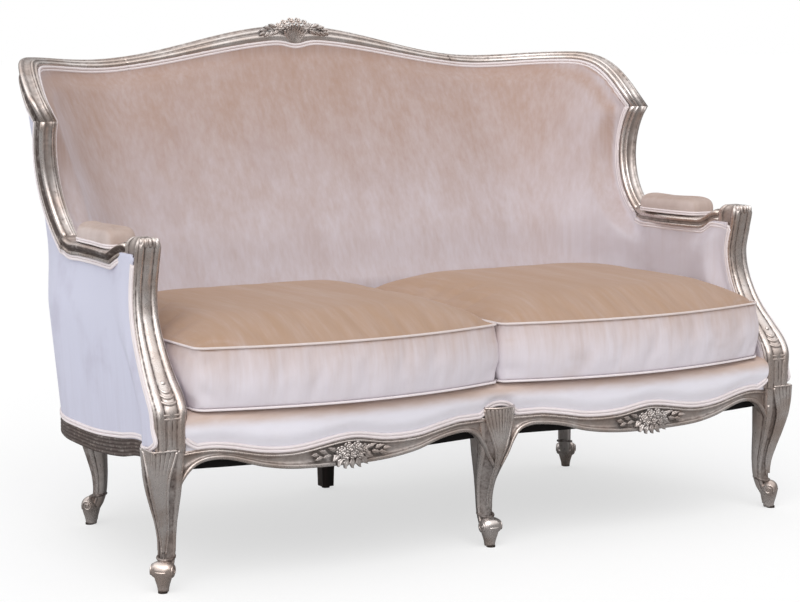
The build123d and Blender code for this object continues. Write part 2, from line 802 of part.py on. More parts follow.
def cushion_piping():
    """The two cords sewn round the upper and the lower edge of a cushion."""
    with BuildPart() as cords:
        for edge in (CUSHION_EDGE_LOW, CUSHION_EDGE_HIGH):
            with BuildSketch(Plane.XY.offset(edge - PIPING / 2)):
                with BuildLine():
                    cushion_edges(-PIPING)
                make_face()
            extrude(amount=PIPING)
        add(seat_cushion(), mode=Mode.SUBTRACT)
        for z, inset in ((CUSHION_EDGE_LOW, 0), (CUSHION_EDGE_HIGH, 0)):
            with BuildSketch(Plane.XY.offset(z - PIPING)):
                with BuildLine():
                    cushion_edges(inset - TOUCH)
                make_face()
            extrude(amount=2 * PIPING, mode=Mode.SUBTRACT)
    return cords.part


def front_border():
    """The upholstered band between the front rails and the cushions."""
    ends = [(front_rail_x(share), bow - BORDER_SETBACK) for share, bow, _, _ in FRONT_RAIL_SHAPE[1:]]
    stations = [(-x, bow) for x, bow in reversed(ends)]
    stations += [(0, FRONT_RAIL_SHAPE[0][1] - BORDER_SETBACK), *ends]
    foot, rise = SEAT_LINE + STRAP_THICK + SOFT_GAP, DECK_TOP - BORDER_ROUND
    turn = BORDER_ROUND * (1 - sqrt(0.5))
    with BuildPart() as band:
        for x, bow in stations:
            depth = bow + BORDER_BACK
            with BuildSketch(upright_plane(x, -bow, 180)):
                with BuildLine():
                    ThreePointArc((0, foot), (BORDER_CROWN, (foot + rise) / 2), (0, rise))
                    ThreePointArc((0, rise), (-turn, DECK_TOP - turn), (-BORDER_ROUND, DECK_TOP))
                    Polyline((-BORDER_ROUND, DECK_TOP), (-depth, DECK_TOP), (-depth, foot), (0, foot))
                make_face()
        loft()
    return band.part


def level_piece(plan, front, z, thick):
    """A flat layer inside a plan, such as the deck or the dust cover."""
    with BuildPart() as layer:
        with BuildSketch(Plane.XY.offset(z)):
            with BuildLine():
                u_edges(plan, front)
                Line(at(-plan.half, front, 0), at(plan.half, front, 0))
            make_face()
        extrude(amount=thick)
    return layer.part


os.makedirs("parts", exist_ok=True)

# Joint planes on the right side of the frame
rail_middle = (RAIL_UNDER + BLOCK_TOP) / 2
inner_depth = -(SHOW_DEPTH + RAIL_THICK) / 2


def rail_joint(plane):
    """Two dowels, one above the other, in the plain part of a seat rail."""
    origin = plane.from_local_coords((inner_depth, rail_middle, 0))
    return Joint(Plane(origin, plane.x_dir, plane.z_dir), DOWEL_SPREAD, DOWEL_DEPTH)


def wood_joint(plane, width, thick):
    """One dowel in the middle of a moulded section."""
    origin = plane.from_local_coords((-width / 2, -0.55 * thick, 0))
    return Joint(Plane(origin, plane.x_dir, plane.z_dir), 0, MOULDING_DOWEL_DEPTH)


def flat_joint(x, back, z):
    return Joint(Plane(at(x, back, z)), 0, DOWEL_DEPTH)


def across(joint):
    """The same joint on the left side."""
    plane = joint.plane
    origin = Vector(-plane.origin.X, plane.origin.Y, plane.origin.Z)
    normal = Vector(-plane.z_dir.X, plane.z_dir.Y, plane.z_dir.Z)
    first = Vector(plane.x_dir.X, -plane.x_dir.Y, -plane.x_dir.Z)
    return Joint(Plane(origin, first, normal), joint.spread, joint.depth)


def front_joint(x):
    """Two dowels between the front rail and a leg's block."""
    return Joint(Plane(at(x, 0, rail_middle), (0, -1, 0), (-1, 0, 0)), DOWEL_SPREAD, DOWEL_DEPTH)


front_outer_joint = front_joint(CORNER_FACE)
front_inner_joint = front_joint(CENTRE_BLOCK_HALF)
side_front_joint = rail_joint(upright_plane(OUTSIDE_LOW.half, CORNER_BLOCK_HALF, 90))
side_rear_joint = rail_joint(corner_plane(SIDE_RAIL_END))
rear_joint = rail_joint(corner_plane(REAR_RAIL_END))
centre_leg_joint = flat_joint(0, CENTRE_REAR_BACK, REAR_UNDER)
post_joint = flat_joint(POST_SHAPE[0][1], POST_SHAPE[0][2], BLOCK_TOP)
hand_joint = wood_joint(HAND_PLANE, HAND_WIDE, ARM_THICK)
arm_joint = wood_joint(stile_plane(STILE_FOOT_TURN), FRAME_WIDTH, FRAME_THICK)
mitre_joint = wood_joint(MITRE, FRAME_WIDTH, MITRE_LENGTH)
crest_joint = wood_joint(wing_plane(0), FRAME_WIDTH, FRAME_THICK)
upright_joints = [
    flat_joint(x, OUTSIDE_LOW.back - SHOW_DEPTH - UPRIGHT_FOOT / 2, SEAT_LINE)
    for x in (-UPRIGHT_SPACING, 0, UPRIGHT_SPACING)
]
paired_joints = (
    front_outer_joint, front_inner_joint, side_front_joint, side_rear_joint, rear_joint,
    post_joint, hand_joint, arm_joint, mitre_joint, crest_joint,
)

# Wooden pieces of the right side, with their twins on the left
paired_wood = {
    "front_rail": bored(front_rail(), (front_outer_joint, front_inner_joint)),
    "side_rail": bored(side_rail(), (side_front_joint, side_rear_joint)),
    "front_leg": bored(front_corner_leg(), (front_outer_joint, side_front_joint, post_joint)),
    "rear_leg": bored(rear_corner_leg(), (side_rear_joint, rear_joint)),
    "arm_post": bored(arm_post(), (post_joint, hand_joint)),
    "arm_rail": bored(arm_rail(), (hand_joint, arm_joint)),
    "wing_stile": bored(wing_stile(), (arm_joint, mitre_joint)),
    "wing_rail": bored(wing_rail(), (mitre_joint, crest_joint)),
}
for name, part in paired_wood.items():
    save(part, f"{name}_right")
    save(mirrored(part), f"{name}_left")

# Wooden pieces on the middle line
crest = bored(crest_rail(), (crest_joint, across(crest_joint)))
save(crest, "crest_rail")
save(bored(rear_rail(), (rear_joint, across(rear_joint), centre_leg_joint, *upright_joints)), "rear_rail")
save(bored(front_centre_leg(), (front_inner_joint, across(front_inner_joint))), "front_leg_centre")
save(bored(rear_centre_leg(), (centre_leg_joint,)), "rear_leg_centre")
for side, joint in zip(("left", "centre", "right"), upright_joints):
    save(bored(back_upright(joint.plane.origin.X, crest), (joint,)), f"rear_post_{side}")

with BuildPart() as dowels:
    left_joints = [across(joint) for joint in paired_joints]
    for joint in (*paired_joints, *left_joints, centre_leg_joint, *upright_joints):
        with Locations(*dowel_centres(joint)):
            Cylinder(DOWEL_RADIUS, 2 * joint.depth)
save(dowels.part, "dowels")

# Carvings on the crest rail and on the front rails
crest_face = at(0, OUTSIDE_HIGH.back - FRAME_WIDTH, crest_top(0) - FRAME_THICK / 2)
crest_front = Plane(crest_face, (1, 0, 0), (0, -1, 0))
save(carved_flower(crest_front, CREST_ROSE, CREST_SPRAY), "crest_carving")
flower_share, flower_bow, flower_low, _ = FRONT_RAIL_SHAPE[5]
rail_face = at(front_rail_x(flower_share), -flower_bow, flower_low + RAIL_ROSE_RISE)
rail_flower = carved_flower(Plane(rail_face, (1, 0, 0), (0, -1, 0)), RAIL_ROSE, RAIL_SPRAY)
save(rail_flower, "rail_flower_right")
save(mirrored(rail_flower), "rail_flower_left")

# Blocks, stretcher and tack rail inside the frame
block_x = OUTSIDE_LOW.half - RAIL_THICK - TRIM_GAP
block_front = CORNER_BLOCK_HALF + TOUCH
with BuildPart() as corner_blocks:
    with BuildSketch(Plane.XY.offset(RAIL_UNDER + BLOCK_LIFT)):
        with BuildLine():
            Polyline(
                at(block_x, block_front, 0),
                at(block_x, block_front + CORNER_BLOCK_LEG, 0),
                at(block_x - CORNER_BLOCK_LEG, FRONT_RAIL_INNER + TOUCH, 0),
                at(CORNER_FACE - TOUCH, FRONT_RAIL_INNER + TOUCH, 0),
                at(CORNER_FACE - TOUCH, block_front, 0),
                close=True,
            )
        make_face()
    extrude(amount=SEAT_LINE - RAIL_UNDER - 2 * BLOCK_LIFT)
    mirror(about=Plane.YZ)
save(corner_blocks.part, "corner_blocks")

rear_inner = OUTSIDE_LOW.back - RAIL_THICK
with BuildPart() as seat_stretcher:
    with BuildSketch(Plane.XY.offset(RAIL_UNDER + BLOCK_LIFT)):
        with Locations(at(0, FRONT_RAIL_INNER + TOUCH, 0)):
            length = rear_inner - FRONT_RAIL_INNER - 2 * TOUCH
            Rectangle(STRETCHER_WIDTH, length, align=(Align.CENTER, Align.MIN))
    extrude(amount=SEAT_LINE - RAIL_UNDER - 2 * BLOCK_LIFT)
save(seat_stretcher.part, "seat_stretcher")

with BuildPart() as back_tack_rail:
    for x in (-UPRIGHT_SPACING / 2, UPRIGHT_SPACING / 2):
        with Locations(at(x, upright_front(TACK_RAIL_Z) + TACK_RAIL_THICK / 2, TACK_RAIL_Z)):
            Box(UPRIGHT_SPACING - UPRIGHT_WIDTH - 2 * TOUCH, TACK_RAIL_THICK, TACK_RAIL_HEIGHT)
save(back_tack_rail.part, "back_tack_rail")

with BuildPart() as foot_glides:
    rear_foot = corner_point(grown(OUTSIDE_LOW, -REAR_LEG_INSET, -REAR_LEG_INSET), REAR_CORNER_TURN)
    feet = [(0, 0), (0, CENTRE_REAR_BACK)]
    for side in (-1, 1):
        feet += [(side * FRONT_FOOT_HALF, 0), (side * rear_foot[0], rear_foot[1])]
    with Locations(*(at(x, back, 0) for x, back in feet)):
        Cylinder(GLIDE_DIAMETER / 2, GLIDE_HEIGHT, align=(Align.CENTER, Align.CENTER, Align.MIN))
save(foot_glides.part, "foot_glides")

# Padding and covers
side_space, front_space = side_room(), front_room()
covers = {
    "inside_arm": padded(inside_pairs(), "side", (side_space,)),
    "inside_wing": padded(inside_pairs(), "corner", (side_space, front_space)),
    "outside_arm": padded(outside_pairs(), "side", (side_space,)),
    "outside_wing": padded(outside_pairs(), "corner", (side_space, front_space)),
}
for name, part in covers.items():
    save(part, f"{name}_right")
    save(mirrored(part), f"{name}_left")
save(padded(inside_pairs(), "back", (front_space,)), "inside_back")
save(padded(outside_pairs(), "back", (front_space,)), "outside_back")

pad_x = outside(ARM_TOP).half - ARM_PAD_SET - ARM_PAD_WIDTH / 2
pad_middle = HAND_BACK + ARM_PAD_GAP + ARM_PAD_LENGTH / 2
with BuildPart() as arm_pad:
    for rise, inset in ((0, 2), (0.35, 0), (0.75, 5), (1, 18)):
        with BuildSketch(Plane(at(pad_x, pad_middle, ARM_TOP + ARM_PAD_LIFT + rise * ARM_PAD_HEIGHT))):
            width = ARM_PAD_WIDTH - 2 * inset
            RectangleRounded(width, ARM_PAD_LENGTH - 2 * inset, 0.45 * width)
    loft()
save(arm_pad.part, "arm_pad_right")
save(mirrored(arm_pad.part), "arm_pad_left")

save(front_border(), "front_border")
deck_plan = grown(blend(INSIDE_LOW, INSIDE_MIDDLE, PAD_FOOT), -SOFT_GAP - TRIM_GAP, -SOFT_GAP - TRIM_GAP)
deck_foot = SEAT_LINE + 2 * STRAP_THICK + SOFT_GAP
save(level_piece(deck_plan, BORDER_BACK + SOFT_GAP, deck_foot, DECK_TOP - deck_foot), "seat_deck")
cover_plan = grown(OUTSIDE_LOW, -SHOW_DEPTH - 2 * TRIM_GAP, -SHOW_DEPTH - 2 * TRIM_GAP)
cloth_front = CORNER_BLOCK_HALF + SOFT_GAP
side_rail_rear = corner_point(OUTSIDE_LOW, SIDE_RAIL_END)[1]
cloth_drop = (REAR_UNDER - RAIL_UNDER) / (side_rail_rear - cloth_front)
cloth_level = RAIL_UNDER - TOUCH - CLOTH_THICK + cloth_drop * MIDDLE
cloth_plane = Plane((0, 0, cloth_level), x_dir=(1, 0, 0), z_dir=(0, -cloth_drop, 1))

# The dust cover falls from the front rails to the rear rail, and is cut out round the legs
with BuildPart() as dust_cover:
    with BuildSketch(cloth_plane):
        with BuildLine():
            u_edges(cover_plan, cloth_front)
            Line(at(-cover_plan.half, cloth_front, 0), at(cover_plan.half, cloth_front, 0))
        make_face()
        with Locations(at(0, cloth_front, 0)):
            Rectangle(2 * (CORNER_FACE - SOFT_GAP), cloth_front, align=(Align.CENTER, Align.MAX))
    extrude(amount=CLOTH_THICK)
    for side in (-1, 1):
        with Locations(at(side * rear_foot[0], rear_foot[1], RAIL_UNDER)):
            Cylinder(LEG_SHAFT[-1][3], RAIL_UNDER, mode=Mode.SUBTRACT)
    with Locations(at(0, CENTRE_REAR_BACK, RAIL_UNDER), at(0, 0, RAIL_UNDER)):
        Box(2 * CENTRE_REAR_LEG_TOP, 2 * CENTRE_REAR_LEG_TOP, RAIL_UNDER, mode=Mode.SUBTRACT)
save(dust_cover.part, "dust_cover")

strap_z = SEAT_LINE + STRAP_THICK / 2 + TOUCH / 4
strap_back = OUTSIDE_LOW.back - RAIL_THICK + STRAP_LAP
with BuildPart() as webbing_lengthways:
    with Locations(at(0, strap_back / 2, strap_z)):
        with GridLocations(STRAP_SPACING, 0, LONG_STRAPS, 1):
            Box(STRAP_WIDTH, strap_back, STRAP_THICK)
save(webbing_lengthways.part, "webbing_lengthways")
cross_half = OUTSIDE_LOW.half - SHOW_DEPTH - SOFT_GAP
cross_step = (OUTSIDE_LOW.back - OUTSIDE_LOW.radius - BORDER_BACK - STRAP_WIDTH) / (CROSS_STRAPS - 1)
with BuildPart() as webbing_crosswise:
    for row in range(CROSS_STRAPS):
        back = BORDER_BACK + STRAP_WIDTH + row * cross_step
        with Locations(at(0, back, strap_z + STRAP_THICK + TOUCH / 4)):
            Box(2 * cross_half, STRAP_WIDTH, STRAP_THICK)
save(webbing_crosswise.part, "webbing_crosswise")

# Loose seat cushions
cushion = seat_cushion()
piping = cushion_piping()
save(cushion, "seat_cushion_right")
save(mirrored(cushion), "seat_cushion_left")
save(piping, "cushion_piping_right")
save(mirrored(piping), "cushion_piping_left")
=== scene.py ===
"""Baroque two-seat sofa: carved and silvered show-wood, velvet covers, two loose seat cushions.

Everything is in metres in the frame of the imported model. "Back" distances run from the line of
the front feet. The right half is drawn, and the left half is its mirror image.
"""

from collections import namedtuple
from math import atan2, cos, degrees, exp, hypot, pi, radians, sin, sqrt

import bpy
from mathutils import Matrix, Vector


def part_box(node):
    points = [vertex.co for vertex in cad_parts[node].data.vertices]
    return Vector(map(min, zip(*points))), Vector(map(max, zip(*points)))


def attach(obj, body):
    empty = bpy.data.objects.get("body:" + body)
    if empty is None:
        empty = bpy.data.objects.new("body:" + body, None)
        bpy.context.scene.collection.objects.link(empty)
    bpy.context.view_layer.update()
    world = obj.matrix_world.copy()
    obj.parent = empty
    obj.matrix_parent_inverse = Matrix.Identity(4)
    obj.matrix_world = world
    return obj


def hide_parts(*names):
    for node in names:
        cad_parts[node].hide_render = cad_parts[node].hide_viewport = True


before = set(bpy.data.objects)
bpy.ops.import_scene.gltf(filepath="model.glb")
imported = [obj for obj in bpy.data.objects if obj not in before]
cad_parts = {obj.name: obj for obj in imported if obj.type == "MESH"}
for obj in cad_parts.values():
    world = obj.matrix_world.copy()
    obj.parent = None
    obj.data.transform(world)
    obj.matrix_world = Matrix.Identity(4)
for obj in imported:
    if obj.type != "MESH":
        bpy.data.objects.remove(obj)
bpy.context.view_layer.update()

# Plans of the frame at a height: half width, back face and radius of the rear corners
Plan = namedtuple("Plan", "z half back radius")
OUTSIDE_LOW = Plan(0.276, 0.722, 0.720, 0.265)
OUTSIDE_HIGH = Plan(0.975, 0.765, 0.860, 0.345)
INSIDE_LOW = Plan(0.276, 0.664, 0.572, 0.210)
INSIDE_MIDDLE = Plan(0.480, 0.678, 0.598, 0.225)
INSIDE_HIGH = Plan(0.975, 0.720, 0.818, 0.300)
FOOT_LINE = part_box("crest_rail")[1].y - OUTSIDE_HIGH.back

# Show-wood
SEAT_LINE = 0.276
RAIL_UNDER = 0.230
UNDER_LAP = 0.010
SHOW_DEPTH = 0.020
RAIL_THICK = 0.046
FRAME_WIDTH = 0.037
FRAME_THICK = 0.034
INNER_SHOW = 0.018
STILE_CENTRE = (0.384, 0.757)
STILE_RADIUS = 0.150
STILE_FOOT_TURN = -56
EAR_BACK = 0.710
EAR_TOP = 0.981
# Outer edge of the wing in the side view, from its tip to the ear: distance back and height
WING_EDGE = (
    (0.495, 0.857),
    (0.515, 0.869),
    (0.540, 0.887),
    (0.575, 0.919),
    (0.611, 0.948),
    (0.647, 0.968),
    (0.682, 0.978),
    (0.710, 0.981),
)
WING_TIP = WING_EDGE[0]
WING_THROAT = (0.542, 0.857)
ARM_TOP = 0.626
ARM_THICK = 0.027
HAND_BACK = 0.140
HAND_SIDE = 0.732
HAND_RISE = 0.020
CREST_LOW = 0.972
CREST_RISE = 0.072
CREST_HALF = 0.500
EAR_HALF = 0.706
CREST_END = OUTSIDE_HIGH.half - OUTSIDE_HIGH.radius
WELT = 0.0032

# Front rail of the right side: share of its length, forward bow, lower and upper show edge
FRONT_RAIL = (
    (-0.045, 0.030, 0.168, 0.272),
    (-0.022, 0.030, 0.190, 0.272),
    (-0.003, 0.030, 0.214, 0.272),
    (0.022, 0.031, 0.236, 0.272),
    (0.055, 0.034, 0.246, 0.272),
    (0.10, 0.038, 0.247, 0.272),
    (0.17, 0.045, 0.241, 0.266),
    (0.26, 0.052, 0.226, 0.257),
    (0.37, 0.057, 0.217, 0.257),
    (0.50, 0.060, 0.215, 0.268),
    (0.68, 0.055, 0.217, 0.253),
    (0.78, 0.048, 0.226, 0.255),
    (0.89, 0.038, 0.245, 0.268),
    (0.945, 0.031, 0.246, 0.271),
    (0.985, 0.027, 0.238, 0.270),
    (1.015, 0.023, 0.220, 0.268),
    (1.04, 0.019, 0.192, 0.266),
    (1.055, 0.016, 0.168, 0.264),
)
FRONT_RAIL_INNER_END = 0.038
FRONT_RAIL_LENGTH = 0.638

# Side rail from the front leg to the back: distance along it, lower and upper show edge
SIDE_RAIL = (
    (0.000, 0.232, 0.262),
    (0.100, 0.236, 0.270),
    (0.180, 0.222, 0.259),
    (0.300, 0.212, 0.248),
    (0.425, 0.213, 0.248),
    (0.520, 0.217, 0.251),
    (0.600, 0.221, 0.254),
)

# Leg from the floor up: height, heel and front along its heading, and width
LEG_SHAFT = (
    (0.030, -0.024, 0.004, 0.027),
    (0.066, -0.037, -0.006, 0.031),
    (0.102, -0.041, -0.004, 0.033),
    (0.135, -0.041, 0.006, 0.041),
    (0.165, -0.040, 0.017, 0.053),
    (0.195, -0.040, 0.027, 0.064),
    (0.216, -0.040, 0.032, 0.069),
    (0.272, -0.040, 0.035, 0.078),
)
LEG_TOP = LEG_SHAFT[-1][0]
ANKLE_HEIGHT = 0.046
# Toe below its roll: height, depth and width
TOE_BASE = (
    (0.002, 0.022, 0.019),
    (0.012, 0.025, 0.022),
    (0.026, 0.033, 0.030),
    (0.042, 0.040, 0.038),
)

# Arm post: height, centre across, centre back, width and depth
ARM_POST = (
    (0.272, 0.720, 0.000, 0.054, 0.052),
    (0.310, 0.720, 0.000, 0.057, 0.054),
    (0.345, 0.720, 0.003, 0.061, 0.057),
    (0.372, 0.720, 0.019, 0.061, 0.056),
    (0.400, 0.719, 0.044, 0.056, 0.052),
    (0.440, 0.715, 0.079, 0.050, 0.048),
    (0.480, 0.713, 0.104, 0.046, 0.046),
    (0.520, 0.711, 0.118, 0.044, 0.044),
    (0.560, 0.709, 0.122, 0.044, 0.044),
    (0.600, 0.709, 0.118, 0.045, 0.052),
    (0.640, 0.709, 0.113, 0.046, 0.060),
    (0.655, 0.709, 0.110, 0.042, 0.056),
)
POST_FOOT = ARM_POST[0][0]

# Seat cushions
CUSHION_LOW = 0.343
CUSHION_HIGH = 0.457
CUSHION_LEFT = 0.007
CUSHION_RIGHT = 0.665
CUSHION_FRONT = -0.030
CUSHION_BOW = -0.080
CUSHION_BACK = 0.568
CUSHION_REAR_RADIUS = 0.200
CUSHION_NOSE_RADIUS = 0.026
CUSHION_SEAM_RADIUS = 0.014
DECK_TOP = 0.335


RIGHT = Vector((1, 0, 0))
UP = Vector((0, 0, 1))
FACE = Vector((0, -1, 0))


def at(x, back, z):
    """A point from its distance behind the front feet."""
    return Vector((x, back + FOOT_LINE, z))


def clamp(value, low=0.0, high=1.0):
    return max(low, min(high, value))


def ease(share):
    share = clamp(share)
    return share * share * (3 - 2 * share)


def eased_line(a, b, slope_a, slope_b, t):
    """A smooth line from a to b that leaves and arrives with the given slopes."""
    return (
        a * (2 * t**3 - 3 * t**2 + 1)
        + slope_a * (t**3 - 2 * t**2 + t)
        + b * (3 * t**2 - 2 * t**3)
        + slope_b * (t**3 - t**2)
    )


def drawn_in(plan, distance):
    """A plan that lies a distance inside another, all round."""
    return Plan(plan.z, plan.half - distance, plan.back - distance, plan.radius - distance)


def between(low, high, z):
    share = (z - low.z) / (high.z - low.z)
    return Plan(z, *(a + (b - a) * share for a, b in zip(low[1:], high[1:])))


def outside(z):
    return between(OUTSIDE_LOW, OUTSIDE_HIGH, z)


def inside(z):
    if z < INSIDE_MIDDLE.z:
        return between(INSIDE_LOW, INSIDE_MIDDLE, z)
    return between(INSIDE_MIDDLE, INSIDE_HIGH, z)


def corner_point(plan, turn):
    """A point on a plan's rounded corner: turn 0 faces the back, 90 the side."""
    x = plan.half - plan.radius * (1 - sin(radians(turn)))
    return x, plan.back - plan.radius * (1 - cos(radians(turn)))


def along(table, key):
    """The values of a table at a key, on a smooth line through its rows."""
    last = len(table) - 1
    i = 0
    while i < last - 1 and key > table[i + 1][0]:
        i += 1
    a, b = table[i], table[i + 1]
    before, after = table[max(i - 1, 0)], table[min(i + 2, last)]
    span = b[0] - a[0]
    t = clamp((key - a[0]) / span)
    values = []
    for j in range(1, len(a)):
        slope_a = (b[j] - before[j]) / (b[0] - before[0]) * span
        slope_b = (after[j] - a[j]) / (after[0] - a[0]) * span
        values.append(eased_line(a[j], b[j], slope_a, slope_b, t))
    return values


def spread(start, end, count):
    return [start + (end - start) * i / (count - 1) for i in range(count)]


def around(count):
    """Angles round a full turn."""
    return [2 * pi * k / count for k in range(count)]


def squared(angle, power):
    """Shares of width and length on a rounded square. A lower power makes its corners sharper."""
    return (abs(v) ** power * (1 if v > 0 else -1) for v in (cos(angle), sin(angle)))


def facing(turn):
    """The level direction of a turn: 0 faces the back, 90 the right side."""
    return Vector((sin(radians(turn)), cos(radians(turn)), 0))


def leaning(turn, side=1):
    """A direction in the plane of the front: turn 0 points up, 90 to the side."""
    return Vector((side * sin(radians(turn)), 0, cos(radians(turn))))


def mirror(point):
    return Vector((-point.x, point.y, point.z))


def crest_top(x):
    x = abs(x)
    if x < CREST_HALF:
        return CREST_LOW + CREST_RISE * (1 + cos(pi * x / CREST_HALF)) / 2
    share = clamp((x - CREST_HALF) / (EAR_HALF - CREST_HALF))
    return CREST_LOW + (EAR_TOP - CREST_LOW) * (1 - cos(pi * share)) / 2


class Work:
    """A mesh in the making: its points, its faces and the depth of brown glaze and painted shade at each
    point.
    """

    def __init__(self):
        self.points = []
        self.faces = []
        self.glaze_and_shade = []

    def grid(self, rows, glaze_and_shade=None, ring=False, loop=False, caps=False):
        """Faces between rows of points. ring closes each row, loop closes the run of rows."""
        first, wide, tall = len(self.points), len(rows[0]), len(rows)
        for i, row in enumerate(rows):
            self.points += row
            if glaze_and_shade is None:
                self.glaze_and_shade += [0.0] * wide
            else:
                self.glaze_and_shade += glaze_and_shade[i] if isinstance(glaze_and_shade[0], list) else glaze_and_shade
        for i in range(tall if loop else tall - 1):
            a, b = first + i * wide, first + (i + 1) % tall * wide
            for j in range(wide if ring else wide - 1):
                k = (j + 1) % wide
                self.faces.append((a + j, a + k, b + k, b + j))
        if caps:
            self.faces.append(tuple(first + j for j in reversed(range(wide))))
            self.faces.append(tuple(first + (tall - 1) * wide + j for j in range(wide)))

    def tube(self, path, radius, sides=8, loop=False, glaze_and_shade=0.0):
        """A round cord or bead along a path. radius is one size or one per point."""
        count = len(path)
        radii = radius if isinstance(radius, list) else [radius] * count
        side = None
        rows = []
        for i, point in enumerate(path):
            ahead = path[(i + 1) % count] if loop else path[min(i + 1, count - 1)]
            behind = path[i - 1] if loop else path[max(i - 1, 0)]
            heading = (ahead - behind).normalized()
            if side is None:
                side = heading.orthogonal().normalized()
            side = (side - heading * side.dot(heading)).normalized()
            other = heading.cross(side)
            rows.append([point + (side * cos(t) + other * sin(t)) * radii[i] for t in around(sides)])
        self.grid(rows, [glaze_and_shade] * sides, ring=True, loop=loop, caps=not loop)

    def ball(self, centre, size, axes=None, dark_foot=0.7):
        """A carved knob: an egg shape with its half sizes along three axes. It darkens towards its foot, as
        glaze and painted shade.
        """
        x, y, z = axes or (RIGHT, -FACE, UP)
        rows, dark = [], []
        for i in range(1, 8):
            tilt = pi * i / 8
            rows.append([
                centre
                + x * size[0] * sin(tilt) * cos(t)
                + y * size[1] * sin(tilt) * sin(t)
                - z * size[2] * cos(tilt)
                for t in around(12)
            ])
            dark.append([dark_foot * (1 - i / 8) ** 1.5] * 12)
        self.grid(rows, dark, ring=True, caps=True)

    def leaf(self, root, heading, face, length, width, lift=0.3, lobes=3, thick=0.004):
        """A carved leaf: a lobed lens with a raised midrib that curls away from its ground."""
        heading, face = heading.normalized(), face.normalized()
        side = face.cross(heading)
        top, under, dark = [], [], []
        for i in range(15):
            t = i / 14
            outline = sin(pi * t**0.75) * (1 - 0.28 * abs(sin(lobes * pi * t))) + 0.05
            rise = lift * length * t * t + thick * 0.4
            middle = root + heading * length * t + face * rise
            row, below, shade = [], [], []
            for j in range(9):
                v = j / 4 - 1
                vein = 0.35 * cos(4 * pi * v) * (1 - abs(v))
                hump = thick * (1 - v * v) * (0.55 + vein) + thick * 0.5 * (abs(v) < 0.1)
                row.append(middle + side * width / 2 * outline * v + face * hump)
                below.append(middle + side * width / 2 * outline * v * 0.92 - face * thick)
                shade.append(clamp(0.75 * abs(v) ** 4 + 0.45 * (0.1 < abs(v) < 0.4)))
            top.append(row)
            under.append(below)
            dark.append(shade)
        rows = [row + list(reversed(below)) for row, below in zip(top, under)]
        shades = [shade + [0.9] * 9 for shade in dark]
        self.grid(rows, shades, ring=True, caps=True)

    def rose(self, centre, face, radius):
        """An open rose: a button inside two rings of petals."""
        face = face.normalized()
        x = face.orthogonal().normalized()
        y = face.cross(x)
        button = (radius * 0.24, radius * 0.24, radius * 0.26)
        self.ball(centre + face * radius * 0.42, button, (x, y, face))
        for count, reach, size, height, turn in ((5, 0.36, 0.30, 0.30, 0.3), (6, 0.70, 0.36, 0.10, 0.0)):
            petal = (radius * size * 0.72, radius * size, radius * size * 0.5)
            for angle in around(count):
                out = x * cos(angle + turn) + y * sin(angle + turn)
                across = face.cross(out)
                up = (face - out * 0.35).normalized()
                middle = centre + out * radius * reach + face * radius * height
                self.ball(middle, petal, (across.cross(up), across, up), 0.95)

    def mirrored(self):
        twin = Work()
        twin.points = [mirror(point) for point in self.points]
        twin.faces = [tuple(reversed(face)) for face in self.faces]
        twin.glaze_and_shade = list(self.glaze_and_shade)
        return twin


# How far the bend between arm and wing is drawn in and forward of the plan, and where that starts,
# is full, begins to fade and ends: distance back, height and distance from the middle
BEND_IN = 0.014
BEND_FORWARD = 0.024
BEND_BACK = (0.16, 0.36, 0.50, 0.75)
BEND_HEIGHT = (0.47, 0.62, 0.64, 1.00)
BEND_SIDE = (0.45, 0.65)


def grown(value, start, full):
    return ease((value - start) / (full - start))


def at_bend(point):
    """A point of the sides, drawn with the bend between arm and wing. Other points keep their place."""
    share = grown(abs(point.x), *BEND_SIDE)
    for value, stops in ((point.y - FOOT_LINE, BEND_BACK), (point.z, BEND_HEIGHT)):
        share *= grown(value, *stops[:2]) * (1 - grown(value, *stops[2:]))
    side = 1 if point.x > 0 else -1
    return point - Vector((side * BEND_IN, BEND_FORWARD, 0)) * share


def make(name, work, material, nodes=(), body="frame", smooth=0, shell=0.0):
    """A finished piece: smooth, one material, riding on a body in place of its solids."""
    mesh = bpy.data.meshes.new(name)
    points = [at_bend(point) for point in work.points] if body == "frame" else work.points
    mesh.from_pydata(points, [], work.faces)
    mesh.validate()
    mesh.shade_smooth()
    if any(work.glaze_and_shade):
        mesh.attributes.new("glaze_and_shade", "FLOAT", "POINT").data.foreach_set("value", work.glaze_and_shade)
    mesh.materials.append(material)
    piece = bpy.data.objects.new(name, mesh)
    bpy.context.collection.objects.link(piece)
    if shell:
        skin = piece.modifiers.new("thickness", "SOLIDIFY")
        skin.thickness, skin.offset = shell, -1
    if smooth:
        finer = piece.modifiers.new("rounding", "SUBSURF")
        finer.levels = finer.render_levels = smooth
    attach(piece, body)
    if nodes:
        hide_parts(*nodes)
    return piece


def make_pair(name, work, material, nodes=(), smooth=0):
    """The right piece and its mirror image on the left."""
    pieces = []
    for side, half in (("right", work), ("left", work.mirrored())):
        twins = [f"{node}_{side}" for node in nodes]
        pieces.append(make(f"{name}_{side}", half, material, twins, smooth=smooth))
    return pieces


def silver(name, work, *nodes, smooth=0):
    """A silvered piece on the middle of the frame."""
    make(name, work, silver_leaf, nodes, smooth=smooth)


def silver_pair(name, work, *nodes, smooth=0):
    """A silvered piece on each side."""
    make_pair(name, work, silver_leaf, nodes, smooth)


# Finishes


def paint(red, green, blue):
    """A colour from 0 to 255 per channel, as it looks on a screen."""
    def linear(value):
        value /= 255
        return value / 12.92 if value <= 0.04045 else ((value + 0.055) / 1.055) ** 2.4
    return (linear(red), linear(green), linear(blue), 1)


